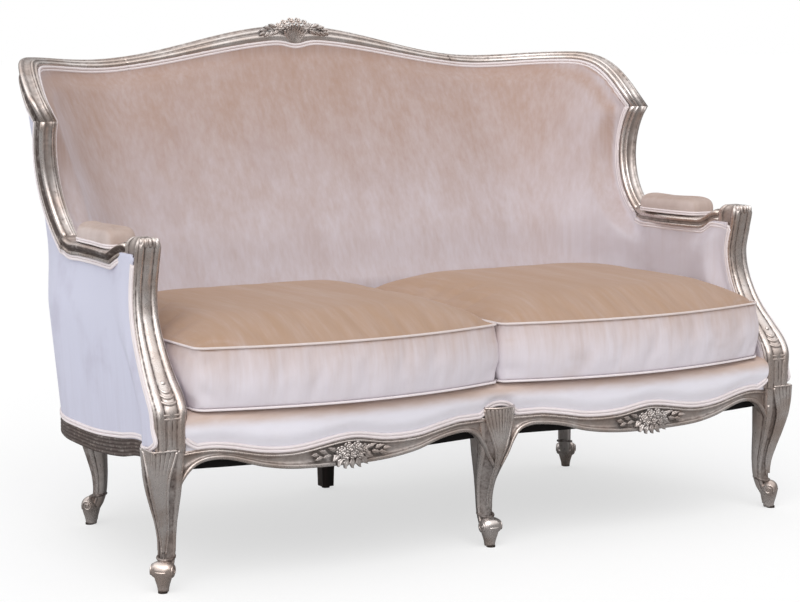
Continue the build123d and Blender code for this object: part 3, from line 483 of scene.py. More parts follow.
class Nodes:
    """Short calls for placing and joining nodes in a tree."""

    def __init__(self, tree):
        self.tree = tree

    def put(self, kind, **values):
        node = self.tree.nodes.new(f"ShaderNode{kind}")
        for key, value in values.items():
            setattr(node, key, value)
        return node

    def join(self, source, target):
        self.tree.links.new(source, target)

    def feed(self, socket, value):
        if isinstance(value, bpy.types.NodeSocket):
            self.join(value, socket)
        else:
            socket.default_value = value

    def sum(self, kind, first, second=0.0, third=None):
        node = self.put("Math", operation=kind)
        self.feed(node.inputs[0], first)
        self.feed(node.inputs[1], second)
        if third is not None:
            self.feed(node.inputs[2], third)
        return node.outputs[0]

    def mix(self, share, first, second):
        node = self.put("Mix", data_type="RGBA")
        self.feed(node.inputs[0], share)
        self.feed(node.inputs[6], first)
        self.feed(node.inputs[7], second)
        return node.outputs[2]

    def remap(self, value, low, high, to_low=0.0, to_high=1.0):
        node = self.put("MapRange", interpolation_type="SMOOTHSTEP")
        for i, part in enumerate((value, low, high, to_low, to_high)):
            self.feed(node.inputs[i], part)
        return node.outputs[0]

    def stretched(self, place, stretch):
        node = self.put("VectorMath", operation="MULTIPLY")
        self.feed(node.inputs[0], place)
        self.feed(node.inputs[1], stretch)
        return node.outputs[0]

    def grain(self, place, scale, detail=3.0, roughness=0.55):
        node = self.put("TexNoise")
        self.join(place, node.inputs["Vector"])
        node.inputs["Scale"].default_value = scale
        node.inputs["Detail"].default_value = detail
        node.inputs["Roughness"].default_value = roughness
        return node.outputs["Fac"]


def socket_group(name, inputs, outputs):
    """A node group with named sockets: the group, its nodes, what it is given, what it puts out,
    and the place on the object."""
    group = bpy.data.node_groups.new(name, "ShaderNodeTree")
    for title, kind, value in inputs:
        socket = group.interface.new_socket(title, in_out="INPUT", socket_type=f"NodeSocket{kind}")
        if value is not None:
            socket.default_value = value
    for title, kind in outputs:
        group.interface.new_socket(title, in_out="OUTPUT", socket_type=f"NodeSocket{kind}")
    n = Nodes(group)
    given = group.nodes.new("NodeGroupInput").outputs
    out = group.nodes.new("NodeGroupOutput").inputs
    return group, n, given, out, n.put("TexCoord").outputs["Object"]


def leaf_wear_and_shade_group():
    """Rubbed silver leaf over a brown ground, with brown glaze and painted shade in the recesses."""
    group, n, given, out, place = socket_group(
        "leaf_wear_and_shade",
        (("Glaze and shade", "Float", 0.0), ("Leaf", "Color", None), ("Warm leaf", "Color", None),
         ("Glaze colour", "Color", None)),
        (("Color", "Color"), ("Roughness", "Float"), ("Metal", "Float"), ("Height", "Float")),
    )
    cloud = n.grain(place, 14, 4)
    rub = n.grain(place, 90, 5, 0.65)
    fine = n.grain(n.stretched(place, (1, 1, 0.35)), 420, 3)
    toned = n.mix(n.remap(cloud, 0.35, 0.68), given["Leaf"], given["Warm leaf"])
    uneven_depth = n.sum("MULTIPLY", given["Glaze and shade"], n.remap(rub, 0.25, 0.7, 0.55, 1.35))
    specks = n.sum("MULTIPLY", n.remap(rub, 0.62, 0.74), 0.35)
    glaze_and_shade = n.sum("MINIMUM", n.sum("ADD", uneven_depth, specks), 0.95)
    n.join(n.sum("MULTIPLY", n.sum("SUBTRACT", 1.0, glaze_and_shade), 0.85), out["Metal"])
    n.join(n.mix(glaze_and_shade, toned, given["Glaze colour"]), out["Color"])
    rough = n.sum("ADD", n.remap(fine, 0.3, 0.7, 0.22, 0.36), n.sum("MULTIPLY", glaze_and_shade, 0.25))
    n.join(rough, out["Roughness"])
    n.join(n.sum("ADD", n.sum("MULTIPLY", fine, 0.35), n.sum("MULTIPLY", rub, 0.65)), out["Height"])
    return group


def velvet_nap_group():
    """Velvet pile with streaks and smudges, and painted sheen: the pile turns from its deep colour to a
    lighter painted sheen colour as the painted sheen it is given rises, varied by the streaks.
    """
    group, n, given, out, place = socket_group(
        "velvet_nap",
        (("Deep pile", "Color", None), ("Painted sheen colour", "Color", None), ("Smudge", "Color", None),
         ("Stretch", "Vector", (1, 1, 0.08)), ("Painted sheen", "Float", 0.5), ("Smudges", "Float", 0.4)),
        (("Color", "Color"), ("Roughness", "Float"), ("Height", "Float")),
    )
    streak = n.grain(n.stretched(place, given["Stretch"]), 95, 6, 0.6)
    broad = n.grain(n.stretched(place, given["Stretch"]), 20, 3)
    patch = n.grain(place, 5.5, 4, 0.6)
    pile = n.grain(place, 1500, 2)
    painted_sheen = n.sum("ADD", given["Painted sheen"], n.sum("MULTIPLY", n.sum("SUBTRACT", streak, 0.5), 0.45))
    painted_sheen = n.sum("ADD", painted_sheen, n.sum("MULTIPLY", n.sum("SUBTRACT", broad, 0.5), 0.40))
    tone = n.mix(n.remap(painted_sheen, -0.1, 1.1), given["Deep pile"], given["Painted sheen colour"])
    mark = n.sum("MULTIPLY", n.remap(patch, 0.52, 0.72), given["Smudges"])
    n.join(n.mix(mark, tone, given["Smudge"]), out["Color"])
    n.join(n.remap(streak, 0.3, 0.7, 0.72, 0.9), out["Roughness"])
    n.join(n.sum("ADD", n.sum("MULTIPLY", pile, 0.5), n.sum("MULTIPLY", streak, 0.5)), out["Height"])
    return group


def weave_group():
    """Crossing threads of a plain cloth."""
    group, n, given, out, place = socket_group(
        "plain_weave",
        (("Thread", "Color", None), ("Gap", "Color", None), ("Threads per metre", "Float", 900.0)),
        (("Color", "Color"), ("Height", "Float")),
    )
    split = n.put("SeparateXYZ")
    n.join(place, split.inputs[0])
    turn = n.sum("MULTIPLY", given["Threads per metre"], 2 * pi)
    threads = [n.sum("SINE", n.sum("MULTIPLY", split.outputs[axis], turn)) for axis in ("X", "Y")]
    cloth = n.sum("MULTIPLY", threads[0], threads[1])
    uneven = n.sum("ADD", cloth, n.grain(place, 60, 3))
    n.join(n.mix(n.remap(uneven, -0.4, 1.3), given["Gap"], given["Thread"]), out["Color"])
    n.join(cloth, out["Height"])
    return group


LEAF_WEAR_AND_SHADE = leaf_wear_and_shade_group()
VELVET_NAP = velvet_nap_group()
WEAVE = weave_group()


def finish_base(name, strength, distance):
    """A new material, its nodes, the inputs of its shader and the height that its bump is fed."""
    material = bpy.data.materials.new(name)
    material.use_nodes = True
    n = Nodes(material.node_tree)
    shader = material.node_tree.nodes["Principled BSDF"].inputs
    bump = n.put("Bump")
    bump.inputs["Strength"].default_value = strength
    bump.inputs["Distance"].default_value = distance
    n.join(bump.outputs[0], shader["Normal"])
    return material, n, shader, bump.inputs["Height"]


def place_group(n, group, values, targets):
    """Puts a group into a material, with its values and the sockets that its outputs feed."""
    node = n.put("Group", node_tree=group)
    for title, value in values.items():
        n.feed(node.inputs[title], value)
    for title, socket in targets.items():
        n.join(node.outputs[title], socket)


def silver_finish(name, leaf, warm, glaze_and_shade):
    material, n, shader, height = finish_base(name, 0.18, 0.0012)
    depth = n.put("Attribute", attribute_name="glaze_and_shade").outputs["Fac"]
    place_group(
        n, LEAF_WEAR_AND_SHADE,
        {"Glaze and shade": depth, "Leaf": leaf, "Warm leaf": warm, "Glaze colour": glaze_and_shade},
        {"Color": shader["Base Color"], "Roughness": shader["Roughness"], "Metal": shader["Metallic"],
         "Height": height},
    )
    return material


def velvet_finish(name, deep, painted_sheen_colour, smudge, stretch, smudges, painted_sheen_from):
    """Velvet with painted sheen by height: two heights and the painted sheen at each, plus painted sheen on
    faces turned to the sides; or "top" for cushions, whose level faces and upper parts get less painted sheen
    and look darker.
    """
    material, n, shader, height = finish_base(name, 0.25, 0.001)
    place, turned = n.put("SeparateXYZ"), n.put("SeparateXYZ")
    n.join(n.put("TexCoord").outputs["Object"], place.inputs[0])
    n.join(n.put("NewGeometry").outputs["Normal"], turned.inputs[0])
    if painted_sheen_from == "top":
        # Painted light: level faces and the upper part of the cushion are made darker.
        level = n.remap(turned.outputs["Z"], 0.25, 0.80)
        upright = n.remap(place.outputs["Z"], CUSHION_LOW, CUSHION_HIGH, 1.0, 0.55)
        painted_sheen = n.sum("MULTIPLY", upright, n.sum("SUBTRACT", 1.0, n.sum("MULTIPLY", level, 0.85)))
    else:
        # Painted sheen: faces turned to either side are made lighter.
        aside = n.remap(n.sum("ABSOLUTE", turned.outputs["X"]), 0.55, 1.0, 0.0, 0.36)
        painted_sheen = n.sum("ADD", n.remap(place.outputs["Z"], *painted_sheen_from), aside)
    place_group(
        n, VELVET_NAP,
        {"Deep pile": paint(*deep), "Painted sheen colour": paint(*painted_sheen_colour), "Smudge": paint(*smudge),
         "Stretch": stretch, "Painted sheen": painted_sheen, "Smudges": smudges},
        {"Color": shader["Base Color"], "Roughness": shader["Roughness"], "Height": height},
    )
    shader["Sheen Weight"].default_value = 0.12
    shader["Sheen Roughness"].default_value = 0.4
    shader["Sheen Tint"].default_value = paint(235, 228, 235)
    shader["Specular IOR Level"].default_value = 0.15
    return material


def cloth_finish(name, thread, gap, density):
    material, n, shader, height = finish_base(name, 0.3, 0.0006)
    place_group(
        n, WEAVE,
        {"Thread": thread, "Gap": gap, "Threads per metre": density},
        {"Color": shader["Base Color"], "Height": height},
    )
    shader["Roughness"].default_value = 0.92
    shader["Specular IOR Level"].default_value = 0.1
    return material


def wood_finish(name, pale, dark, roughness):
    material, n, shader, height = finish_base(name, 0.2, 0.0005)
    place = n.put("TexCoord").outputs["Object"]
    ring = n.grain(n.stretched(place, (1, 1, 0.06)), 70, 6, 0.6)
    fleck = n.grain(n.stretched(place, (1, 1, 0.2)), 500, 2)
    streaks = n.mix(n.remap(ring, 0.35, 0.65), pale, dark)
    flecked = n.mix(n.sum("MULTIPLY", n.remap(fleck, 0.55, 0.7), 0.4), streaks, dark)
    n.join(flecked, shader["Base Color"])
    n.join(fleck, height)
    n.join(n.remap(ring, 0.3, 0.7, roughness - 0.08, roughness + 0.08), shader["Roughness"])
    return material


silver_leaf = silver_finish("silver_leaf", paint(214, 206, 202), paint(188, 172, 163), paint(58, 42, 36))
# Velvets: colours of the deep pile, the painted sheen and the smudges, stretch of the streaks,
# strength of the smudges, and the painted sheen by height (or top for level faces)
# Painted light in every velvet: lighter or darker by height and facing, such as the outer sides darker
# towards their foot.
back_velvet = velvet_finish("back_velvet", (170, 141, 126), (211, 205, 213), (172, 152, 150),
                            (1, 1, 0.022), 0.22, (0.45, 0.98, 0.68, 0.20))
side_velvet = velvet_finish("side_velvet", (164, 158, 173), (207, 208, 225), (152, 142, 161),
                            (1, 1, 0.08), 0.22, (0.25, 0.62, 0.45, 0.80))
# Painted shadow: the top of the border is darker, under the cushions.
border_velvet = velvet_finish("border_velvet", (190, 164, 148), (228, 225, 233), (196, 186, 196),
                              (0.15, 1, 0.5), 0.15, (0.300, 0.332, 1.0, 0.15))
cushion_velvet = velvet_finish("cushion_velvet", (172, 142, 120), (218, 211, 218), (176, 152, 140),
                               (1, 0.12, 0.12), 0.25, "top")
welt_velvet = velvet_finish("welt_velvet", (216, 204, 202), (234, 226, 228), (208, 194, 194),
                            (1, 1, 1), 0.2, (0.2, 1.0, 0.6, 0.6))
pad_velvet = velvet_finish("pad_velvet", (170, 146, 132), (204, 190, 186), (148, 124, 112),
                           (1, 1, 0.2), 0.25, (0.60, 0.70, 0.55, 0.30))
cord_velvet = velvet_finish("cord_velvet", (206, 188, 178), (230, 222, 224), (198, 180, 172),
                            (1, 1, 1), 0.2, (0.34, 0.46, 0.9, 0.5))
beech = wood_finish("beech", paint(206, 170, 128), paint(172, 132, 92), 0.6)
# Painted shade: the rear centre leg is coloured near black for the shadow it stands in.
beech_painted_shade = wood_finish("beech_in_painted_shade", paint(58, 44, 38), paint(34, 26, 23), 0.5)
webbing_cloth = cloth_finish("webbing", paint(172, 150, 112), paint(112, 92, 64), 320.0)
deck_cloth = cloth_finish("deck_cloth", paint(206, 198, 190), paint(168, 160, 152), 700.0)
dust_cloth = cloth_finish("dust_cloth", paint(30, 28, 28), paint(14, 13, 13), 600.0)
glide_felt = cloth_finish("glide_felt", paint(70, 62, 56), paint(40, 36, 33), 800.0)


# Mouldings


def run(corners, bulges, steps=6):
    """Points along beads (bulge above 0) and coves (below 0), each with its depth of glaze and painted shade,
    deepest at the foot of beads and in coves.
    """
    points = []
    for (a, b), bulge in zip(zip(corners, corners[1:]), bulges):
        for i in range(steps):
            t = i / steps
            swell = 4 * t * (1 - t)
            p = a[0] + (b[0] - a[0]) * t + (b[1] - a[1]) * bulge * swell
            q = a[1] + (b[1] - a[1]) * t - (b[0] - a[0]) * bulge * swell
            if bulge > 0.1:
                glaze_and_shade = (1 - swell) ** 2
            elif bulge < 0:
                glaze_and_shade = 0.32 + 0.4 * (1 - swell) ** 2
            else:
                glaze_and_shade = 0.22
            points.append((p, q, glaze_and_shade))
    return points


def grooved(section, reach, low, high):
    """A section with full glaze and painted shade in the groove along its outer side."""
    return [(p, q, 1.0 if p > -reach and low < q < high else glaze_and_shade) for p, q, glaze_and_shade in section]


# Sections in shares of width and thickness. Frame: an outer cove dark with glaze and painted shade, bead,
# cove and two inner beads
FRAME_SECTION = grooved(run(
    ((0, -1), (0, -0.84), (-0.03, -0.80), (-0.03, -0.34), (0, -0.30), (-0.19, 0.0), (-0.23, -0.04),
     (-0.60, -0.16), (-0.64, -0.12), (-0.80, -0.22), (-0.83, -0.26), (-1, -0.52), (-1, -1), (0, -1)),
    (0.15, 0, -0.10, 0, 0.30, -0.1, -0.24, 0, 0.36, -0.1, 0.34, 0, 0),
), 0.12, -0.82, -0.34)
# Arm: a bead on each upper edge and a groove along each side
ARM_SECTION = grooved(run(
    ((0, -1), (0, -0.74), (-0.02, -0.66), (0, -0.58), (-0.10, -0.06), (-0.16, -0.02),
     (-0.84, -0.02), (-0.90, -0.06), (-1, -0.58), (-0.98, -0.66), (-1, -0.74), (-1, -1), (0, -1)),
    (0.15, -0.2, -0.2, 0.30, -0.1, 0, -0.1, 0.30, -0.2, -0.2, 0.15, 0),
), 0.08, -0.74, -0.28)

Station = namedtuple("Station", "origin out up width thick inner", defaults=(INNER_SHOW,))


def swept(stations, section):
    """A moulding along its stations."""
    work = Work()
    rows = []
    for s in stations:
        row = []
        for p, q, _ in section:
            deepen = 1 + (s.inner / INNER_SHOW - 1) * ease((-p - 0.1) / 0.8)
            row.append(s.origin + s.out * p * s.width + s.up * q * s.thick * deepen)
        rows.append(row)
    work.grid(rows, [glaze_and_shade for _, _, glaze_and_shade in section], ring=True, caps=True)
    return work


def crest_show(x):
    """Height of the show face of the crest rail, which grows to the middle and dips under its carving."""
    under_carving = exp(-((x / 0.034) ** 2))
    return INNER_SHOW + 0.013 * ease(1.15 * (1 - abs(x) / CREST_END)) + 0.010 * under_carving


def crest_station(x):
    slope = (crest_top(x + 0.001) - crest_top(x - 0.001)) / 0.002
    up = Vector((-slope, 0, 1)).normalized()
    origin = at(x, OUTSIDE_HIGH.back, crest_top(x))
    return Station(origin, Vector((0, 1, 0)), up, FRAME_WIDTH, FRAME_THICK, crest_show(x))


def top_edge(turn):
    """A point on the outer top edge of the right wing, from the crest rail to the wing's tip."""
    x, back = corner_point(OUTSIDE_HIGH, turn)
    z = crest_top(x)
    if back < EAR_BACK:
        z, = along(WING_EDGE, back)
    return at(*corner_point(outside(min(z, OUTSIDE_HIGH.z)), turn), z)


def wing_station(turn):
    heading = top_edge(turn + 0.1) - top_edge(turn - 0.1)
    up = heading.cross(facing(turn)).normalized()
    return Station(top_edge(turn), facing(turn), up, FRAME_WIDTH, FRAME_THICK)


def side_station(edge, inner, width):
    """Across an arm or stile, through its show edge and towards its inner edge."""
    up = Vector((0, edge[0] - inner[0], edge[1] - inner[1]))
    return Station(at(outside(edge[1]).half, *edge), RIGHT, up.normalized(), width, up.length)


def stile_point(radius, turn):
    """A point in the side view on a circle round the centre of the stile."""
    return STILE_CENTRE[0] + radius * cos(radians(turn)), STILE_CENTRE[1] + radius * sin(radians(turn))


def stile_station(turn):
    edge, inner = (stile_point(radius, turn) for radius in (STILE_RADIUS, STILE_RADIUS + FRAME_THICK))
    return side_station(edge, inner, FRAME_WIDTH)


TIP_TURN = degrees(atan2(WING_TIP[1] - STILE_CENTRE[1], WING_TIP[0] - STILE_CENTRE[0]))
MITRE = side_station(WING_TIP, WING_THROAT, FRAME_WIDTH)
crest_run = [crest_station(x) for x in spread(-CREST_END, CREST_END, 121)]
wing_run = [crest_station(CREST_END - 0.004), crest_run[-1]]
wing_run += [wing_station(turn) for turn in spread(2, 82, 41)] + [MITRE]
stile_run = [stile_station(turn) for turn in spread(STILE_FOOT_TURN, TIP_TURN - 10, 22)] + [MITRE]
ARM_WIDTHS = ((0.140, 0.046), (0.205, 0.064), (0.270, 0.070), (0.335, 0.068), (0.400, 0.058))
ARM_BEND = 0.400


def arm_level(back):
    """Height of the top of the arm, which rises in an S to the hand."""
    return ARM_TOP + HAND_RISE * (1 - ease((back - 0.150) / 0.055))


def arm_station(back):
    width, = along(ARM_WIDTHS, back)
    share = ease((back - HAND_BACK) / 0.05)
    x = HAND_SIDE + (outside(ARM_TOP).half - HAND_SIDE) * share
    return Station(at(x, back, arm_level(back)), RIGHT, UP, width, ARM_THICK)


def bend_station(share):
    """Where the arm turns up into the stile."""
    foot, pull = radians(STILE_FOOT_TURN), 0.07
    start, end = (ARM_BEND, ARM_TOP), stile_point(STILE_RADIUS, STILE_FOOT_TURN)
    leave, arrive = (pull, 0), (-sin(foot) * pull, cos(foot) * pull)
    t = share
    point, slope = [], []
    for a, b, da, db in zip(start, end, leave, arrive):
        point.append(eased_line(a, b, da, db, t))
        slope.append(6 * (a - b) * (t**2 - t) + da * (3 * t**2 - 4 * t + 1) + db * (3 * t**2 - 2 * t))
    length = hypot(*slope)
    inner = (point[0] + slope[1] / length * ARM_THICK, point[1] - slope[0] / length * ARM_THICK)
    return side_station(point, inner, ARM_WIDTHS[-1][1] + (FRAME_WIDTH - ARM_WIDTHS[-1][1]) * t)


arm_run = [arm_station(back) for back in spread(HAND_BACK + 0.001, ARM_BEND, 25)]
arm_run += [bend_station(share) for share in spread(0.15, 0.85, 6)] + [stile_run[0]]

silver("crest_moulding", swept(crest_run, FRAME_SECTION), "crest_rail")
silver_pair("wing_moulding", swept(wing_run, FRAME_SECTION), "wing_rail")
silver_pair("stile_moulding", swept(stile_run, FRAME_SECTION), "wing_stile")
silver_pair("arm_moulding", swept(arm_run, ARM_SECTION), "arm_rail")


# Seat rails


def rail_section(thick, low, high, bead, reeds):
    """Rail: a show face with reeds, or with a cove between two beads, on a plain inner part."""
    h = high - low
    under = min(RAIL_UNDER, high - UNDER_LAP)
    if reeds:
        face = [(-0.006, low + h * k / reeds) for k in range(reeds + 1)]
        bulges = [0.30] * reeds
    else:
        face = [(-0.009, low), (-0.003, low + bead), (-0.006, low + bead + 0.0015), (-0.007, high - 0.0110),
                (-0.004, high - 0.0095), (-0.004, high - 0.0040), (-0.010, high)]
        bulges = [0.36, 0, -0.16, 0, 0.40, 0.22]
    corners = [(-SHOW_DEPTH - 0.002, low)] + face + [
        (-SHOW_DEPTH, high), (-SHOW_DEPTH, SEAT_LINE), (-thick, SEAT_LINE), (-thick, under),
        (-SHOW_DEPTH - 0.002, under), (-SHOW_DEPTH - 0.002, low),
    ]
    return run(corners, [0] + bulges + [0] * 6)


# Painted shade: the reeded side and rear rails are darkened nearly all over, for the shadow they stand in.
REED_SHADE = 0.95
RailStation = namedtuple("RailStation", "x back turn thick low high bead", defaults=(0.0,))


def rail_ring(s, reeds):
    section = rail_section(s.thick, s.low, s.high, s.bead, reeds)
    reed_shade = REED_SHADE if reeds else 0
    ring = [at(s.x, s.back, z) + facing(s.turn) * n for n, z, _ in section]
    return ring, [glaze_and_shade + reed_shade for _, _, glaze_and_shade in section]


def railed(stations, reeds=0):
    work = Work()
    rings = [rail_ring(s, reeds) for s in stations]
    work.grid([ring for ring, _ in rings], [glaze_and_shade for _, glaze_and_shade in rings], ring=True, caps=True)
    return work


def front_rail_station(share):
    bow, low, high = along(FRONT_RAIL, share)
    x = FRONT_RAIL_INNER_END + FRONT_RAIL_LENGTH * share
    rise = along(FRONT_RAIL, share + 0.004)[1] - along(FRONT_RAIL, share - 0.004)[1]
    slope = rise / (0.008 * FRONT_RAIL_LENGTH)
    bead = min(0.0078 * hypot(1, slope), 0.6 * (high - low))
    return RailStation(x, -bow, 180, bow + 0.012, low, high, bead)


SIDE_RAIL_START = 0.030
SIDE_RAIL_STRAIGHT = OUTSIDE_LOW.back - OUTSIDE_LOW.radius - SIDE_RAIL_START
REAR_LEG_HALF = 0.042
POST_CLEARANCE = 0.004


def post_flare(half, back, z):
    """How far a line on the outside plan moves out to run onto the outer side of the post."""
    x, middle, width, depth = along(ARM_POST, z)
    onto_post = 1 - ease((back - middle - depth / 2 - POST_CLEARANCE) / 0.07)
    return max(0, x + width / 2 + POST_CLEARANCE - half) * onto_post


def side_rail_station(length):
    low, high = along(SIDE_RAIL, length)
    if length < SIDE_RAIL_STRAIGHT:
        back = SIDE_RAIL_START + length
        flare = post_flare(OUTSIDE_LOW.half, back, POST_FOOT)
        return RailStation(OUTSIDE_LOW.half + flare, back, 90, RAIL_THICK, low, high)
    turn = 90 - degrees((length - SIDE_RAIL_STRAIGHT) / OUTSIDE_LOW.radius)
    return RailStation(*corner_point(OUTSIDE_LOW, turn), turn, RAIL_THICK, low, high)


def rear_rail_station(x):
    low, high = SIDE_RAIL[-1][1:]
    straight = OUTSIDE_LOW.half - OUTSIDE_LOW.radius
    if abs(x) <= straight:
        return RailStation(x, OUTSIDE_LOW.back, 0, RAIL_THICK, low, high)
    turn = degrees((abs(x) - straight) / OUTSIDE_LOW.radius)
    corner_x, back = corner_point(OUTSIDE_LOW, turn)
    side = 1 if x > 0 else -1
    return RailStation(side * corner_x, back, side * turn, RAIL_THICK, low, high)


CORNER_ARC = OUTSIDE_LOW.radius * pi / 4 - REAR_LEG_HALF
INTO_LEG = 0.012
side_length = SIDE_RAIL_STRAIGHT + CORNER_ARC + INTO_LEG
rear_reach = OUTSIDE_LOW.half - OUTSIDE_LOW.radius + CORNER_ARC + INTO_LEG
front_rail_run = [front_rail_station(share) for share in spread(FRONT_RAIL[0][0], FRONT_RAIL[-1][0], 120)]
side_rail_run = [side_rail_station(length) for length in spread(-0.045, side_length, 58)]
rear_rail_run = [rear_rail_station(x) for x in spread(rear_reach, -rear_reach, 61)]
silver_pair("front_rail_moulding", railed(front_rail_run), "front_rail")
silver_pair("side_rail_moulding", railed(side_rail_run, 5), "side_rail")
silver("rear_rail_moulding", railed(rear_rail_run, 5), "rear_rail")


# Cabriole legs

LEG_SECTION = run(
    ((0, -0.36), (0.34, -0.5), (0.60, -0.42), (1, 0), (0.60, 0.42), (0.34, 0.5), (0, 0.36), (0, -0.36)),
    (0.05, 0.36, -0.12, -0.12, 0.36, 0.05, 0.06),
    8,
)
# The coves beside the front ridge of the leg take glaze and painted shade.
LEG_SECTION = [(u, w, 0.62 if u > 0.60 else glaze_and_shade) for u, w, glaze_and_shade in LEG_SECTION]


def leg_axes(turn):
    return facing(turn), facing(turn - 90)


def leg_point(foot, turn, z, u, w, slim=1.0, flat=0.0):
    """A point of a leg. flat brings the edges of its knee forward, into line with a straight rail."""
    ahead, aside = leg_axes(turn)
    heel, front, width = along(LEG_SHAFT, z)
    knee = flat * ease((z - 0.12) / 0.09)
    front += 0.006 * knee
    u += u * (1 - u) * knee
    middle = (heel + front) / 2
    reach = middle + (front - heel) * (u - 0.5) * slim
    return foot + UP * z + ahead * reach + aside * width * w * slim


def scroll_toe(work, foot, turn):
    """A rolled toe on a tapering base, with a volute on each side and a collar round the ankle."""
    ahead, aside = leg_axes(turn)
    rows, shades = [], []
    for z in spread(TOE_BASE[0][0], TOE_BASE[-1][0], 14):
        depth, width = along(TOE_BASE, z)
        row = []
        for angle in around(32):
            c, s = squared(angle, 0.8)
            row.append(foot + UP * z + ahead * (-0.004 + depth / 2 * c) + aside * width / 2 * s)
        rows.append(row)
        shades.append([0.6 * ease((0.014 - z) / 0.012)] * 32)
    work.grid(rows, shades, ring=True, caps=True)
    roll = foot + UP * 0.0425 - ahead * 0.003
    rows, shades = [], []
    for w in spread(-1, 1, 17):
        swell = 0.0182 * (1 - 0.34 * abs(w) ** 2.5)
        middle = roll + aside * w * 0.0205
        rows.append([middle + (ahead * cos(angle) + UP * sin(angle)) * swell for angle in around(24)])
        shades.append([0.45 * abs(w) ** 5] * 24)
    work.grid(rows, shades, ring=True, caps=True)
    for side in (-1, 1):
        curl = []
        for share in spread(0, 1, 40):
            angle = -0.6 + share * 3.4 * pi
            reach = 0.0118 * (1 - 0.82 * share)
            curl.append(roll + aside * side * 0.0206 + (ahead * cos(angle) + UP * sin(angle)) * reach)
        work.tube(curl, spread(0.0021, 0.0021 * 0.6, 40), 6, glaze_and_shade=0.05)
    collar = []
    for angle in around(28):
        middle = foot + UP * (0.0640 - 0.0035 * cos(angle))
        collar.append(middle + ahead * (-0.0205 + 0.0165 * cos(angle)) + aside * 0.0158 * sin(angle))
    # The collar round the ankle is dark with glaze and painted shade.
    work.tube(collar, 0.0030, 8, loop=True, glaze_and_shade=0.75)


def carved_leg(foot, turn, slim=1.0, flat=0.0):
    """A cabriole leg with a ridge down its front. Its shaft tapers away inside a scrolled toe."""
    work = Work()
    rows = []
    for z in spread(0.010, ANKLE_HEIGHT, 8)[:-1] + spread(ANKLE_HEIGHT, LEG_TOP, 50):
        taper = 0.4 + 0.6 * min(z / ANKLE_HEIGHT, 1)
        rows.append([leg_point(foot, turn, z, u, w, slim * taper, flat) for u, w, _ in LEG_SECTION])
    work.grid(rows, [glaze_and_shade for _, _, glaze_and_shade in LEG_SECTION], ring=True, caps=True)
    scroll_toe(work, foot, turn)
    return work


def front_of_leg(foot, turn, z, across, lift, flat):
    """A point on the front of a leg at a distance across from its ridge."""
    ahead, _ = leg_axes(turn)
    w = clamp(across / along(LEG_SHAFT, z)[2], -0.5, 0.5)
    return leg_point(foot, turn, z, 1 - 0.95 * abs(w), w, 1.0, flat) + ahead * lift


def knee_shell(work, foot, turn, tongue, flat, lobes=9):
    """A tongue down the front of a leg that opens into a fluted shell at its top, and the two beads
    along its sides. tongue gives its half width by height."""
    low, top = tongue[0][0], tongue[-1][0]
    rows, shades = [], []
    for v in spread(-1, 1, 8 * lobes + 1):
        ridge = abs(sin(pi * lobes * (v + 1) / 2))
        row, shade = [], []
        for share in spread(0, 1, 40) + [1.003]:
            z = low + (top - low) * min(share, 1) * (1 - 0.012 * (1 - ridge))
            half, = along(tongue, min(z, top))
            fade = ease((z - FLUTES_FROM) / (0.7 * (top - FLUTES_FROM)))
            lift = 0.0010 + 0.0030 * (1 - v * v) + 0.0024 * fade * ridge**0.7
            if share > 1:
                lift = -0.005
            row.append(front_of_leg(foot, turn, z, half * v, lift, flat))
            shade.append(clamp(0.10 + 0.85 * (1 - ridge) ** 2.2 * fade + 0.7 * (share > 0.99)))
        rows.append(row)
        shades.append(shade)
    work.grid(rows, shades)
    rim = []
    for v in spread(-1.04, 1.04, 30):
        lift = 0.0020 + 0.0026 * (1 - v * v)
        rim.append(front_of_leg(foot, turn, top - 0.0012, tongue[-1][1] * v, lift, flat))
    work.tube(rim, 0.0024, 8, glaze_and_shade=0.04)
    for side in (-1, 1):
        bead = []
        for z in spread(top - 0.004, low - 0.004, 56):
            across = side * (along(tongue, z)[0] + 0.0016)
            bead.append(front_of_leg(foot, turn, z, across, 0.0012, flat))
        work.tube(bead, spread(0.0032, 0.0018, 56), 8, glaze_and_shade=0.04)


def smooth_path(points, count):
    """Evenly spaced points on a smooth line through others."""
    table = []
    distance = 0
    for i, point in enumerate(points):
        if i:
            distance += (point - points[i - 1]).length
        table.append((distance, *point))
    return [Vector(along(table, d)) for d in spread(0, distance, count)]


def knee_bead(work, foot, turn, side, flat):
    """The bead down one edge of a leg, which carries on the lower edge of the rail."""
    heights = (0.232, 0.215, 0.190, 0.160, 0.130, 0.100, 0.075)
    path = [leg_point(foot, turn, z, 0.47, side * 0.50, 1.0, flat) for z in heights]
    work.tube(smooth_path(path, 44), spread(0.0048, 0.0024, 44), 10, glaze_and_shade=0.06)


SHELL_TOP = 0.292
FLUTES_FROM = 0.205
# Tongue down the front of a leg: height and half width
CORNER_TONGUE = (
    (0.076, 0.0026),
    (0.115, 0.0072),
    (0.175, 0.0130),
    (0.210, 0.0175),
    (0.232, 0.0220),
    (0.255, 0.0280),
    (0.273, 0.0325),
)
CENTRE_TONGUE = (
    (0.080, 0.0020),
    (0.150, 0.0028),
    (0.185, 0.0050),
    (0.205, 0.0100),
    (0.230, 0.0180),
    (0.260, 0.0270),
    (SHELL_TOP, 0.0340),
)


def front_leg(foot, turn, tongue, flat):
    """A front leg with a shell on its knee and a bead down each edge."""
    leg = carved_leg(foot, turn, flat=flat)
    knee_shell(leg, foot, turn, tongue, flat)
    for side in (-1, 1):
        knee_bead(leg, foot, turn, side, flat)
    return leg


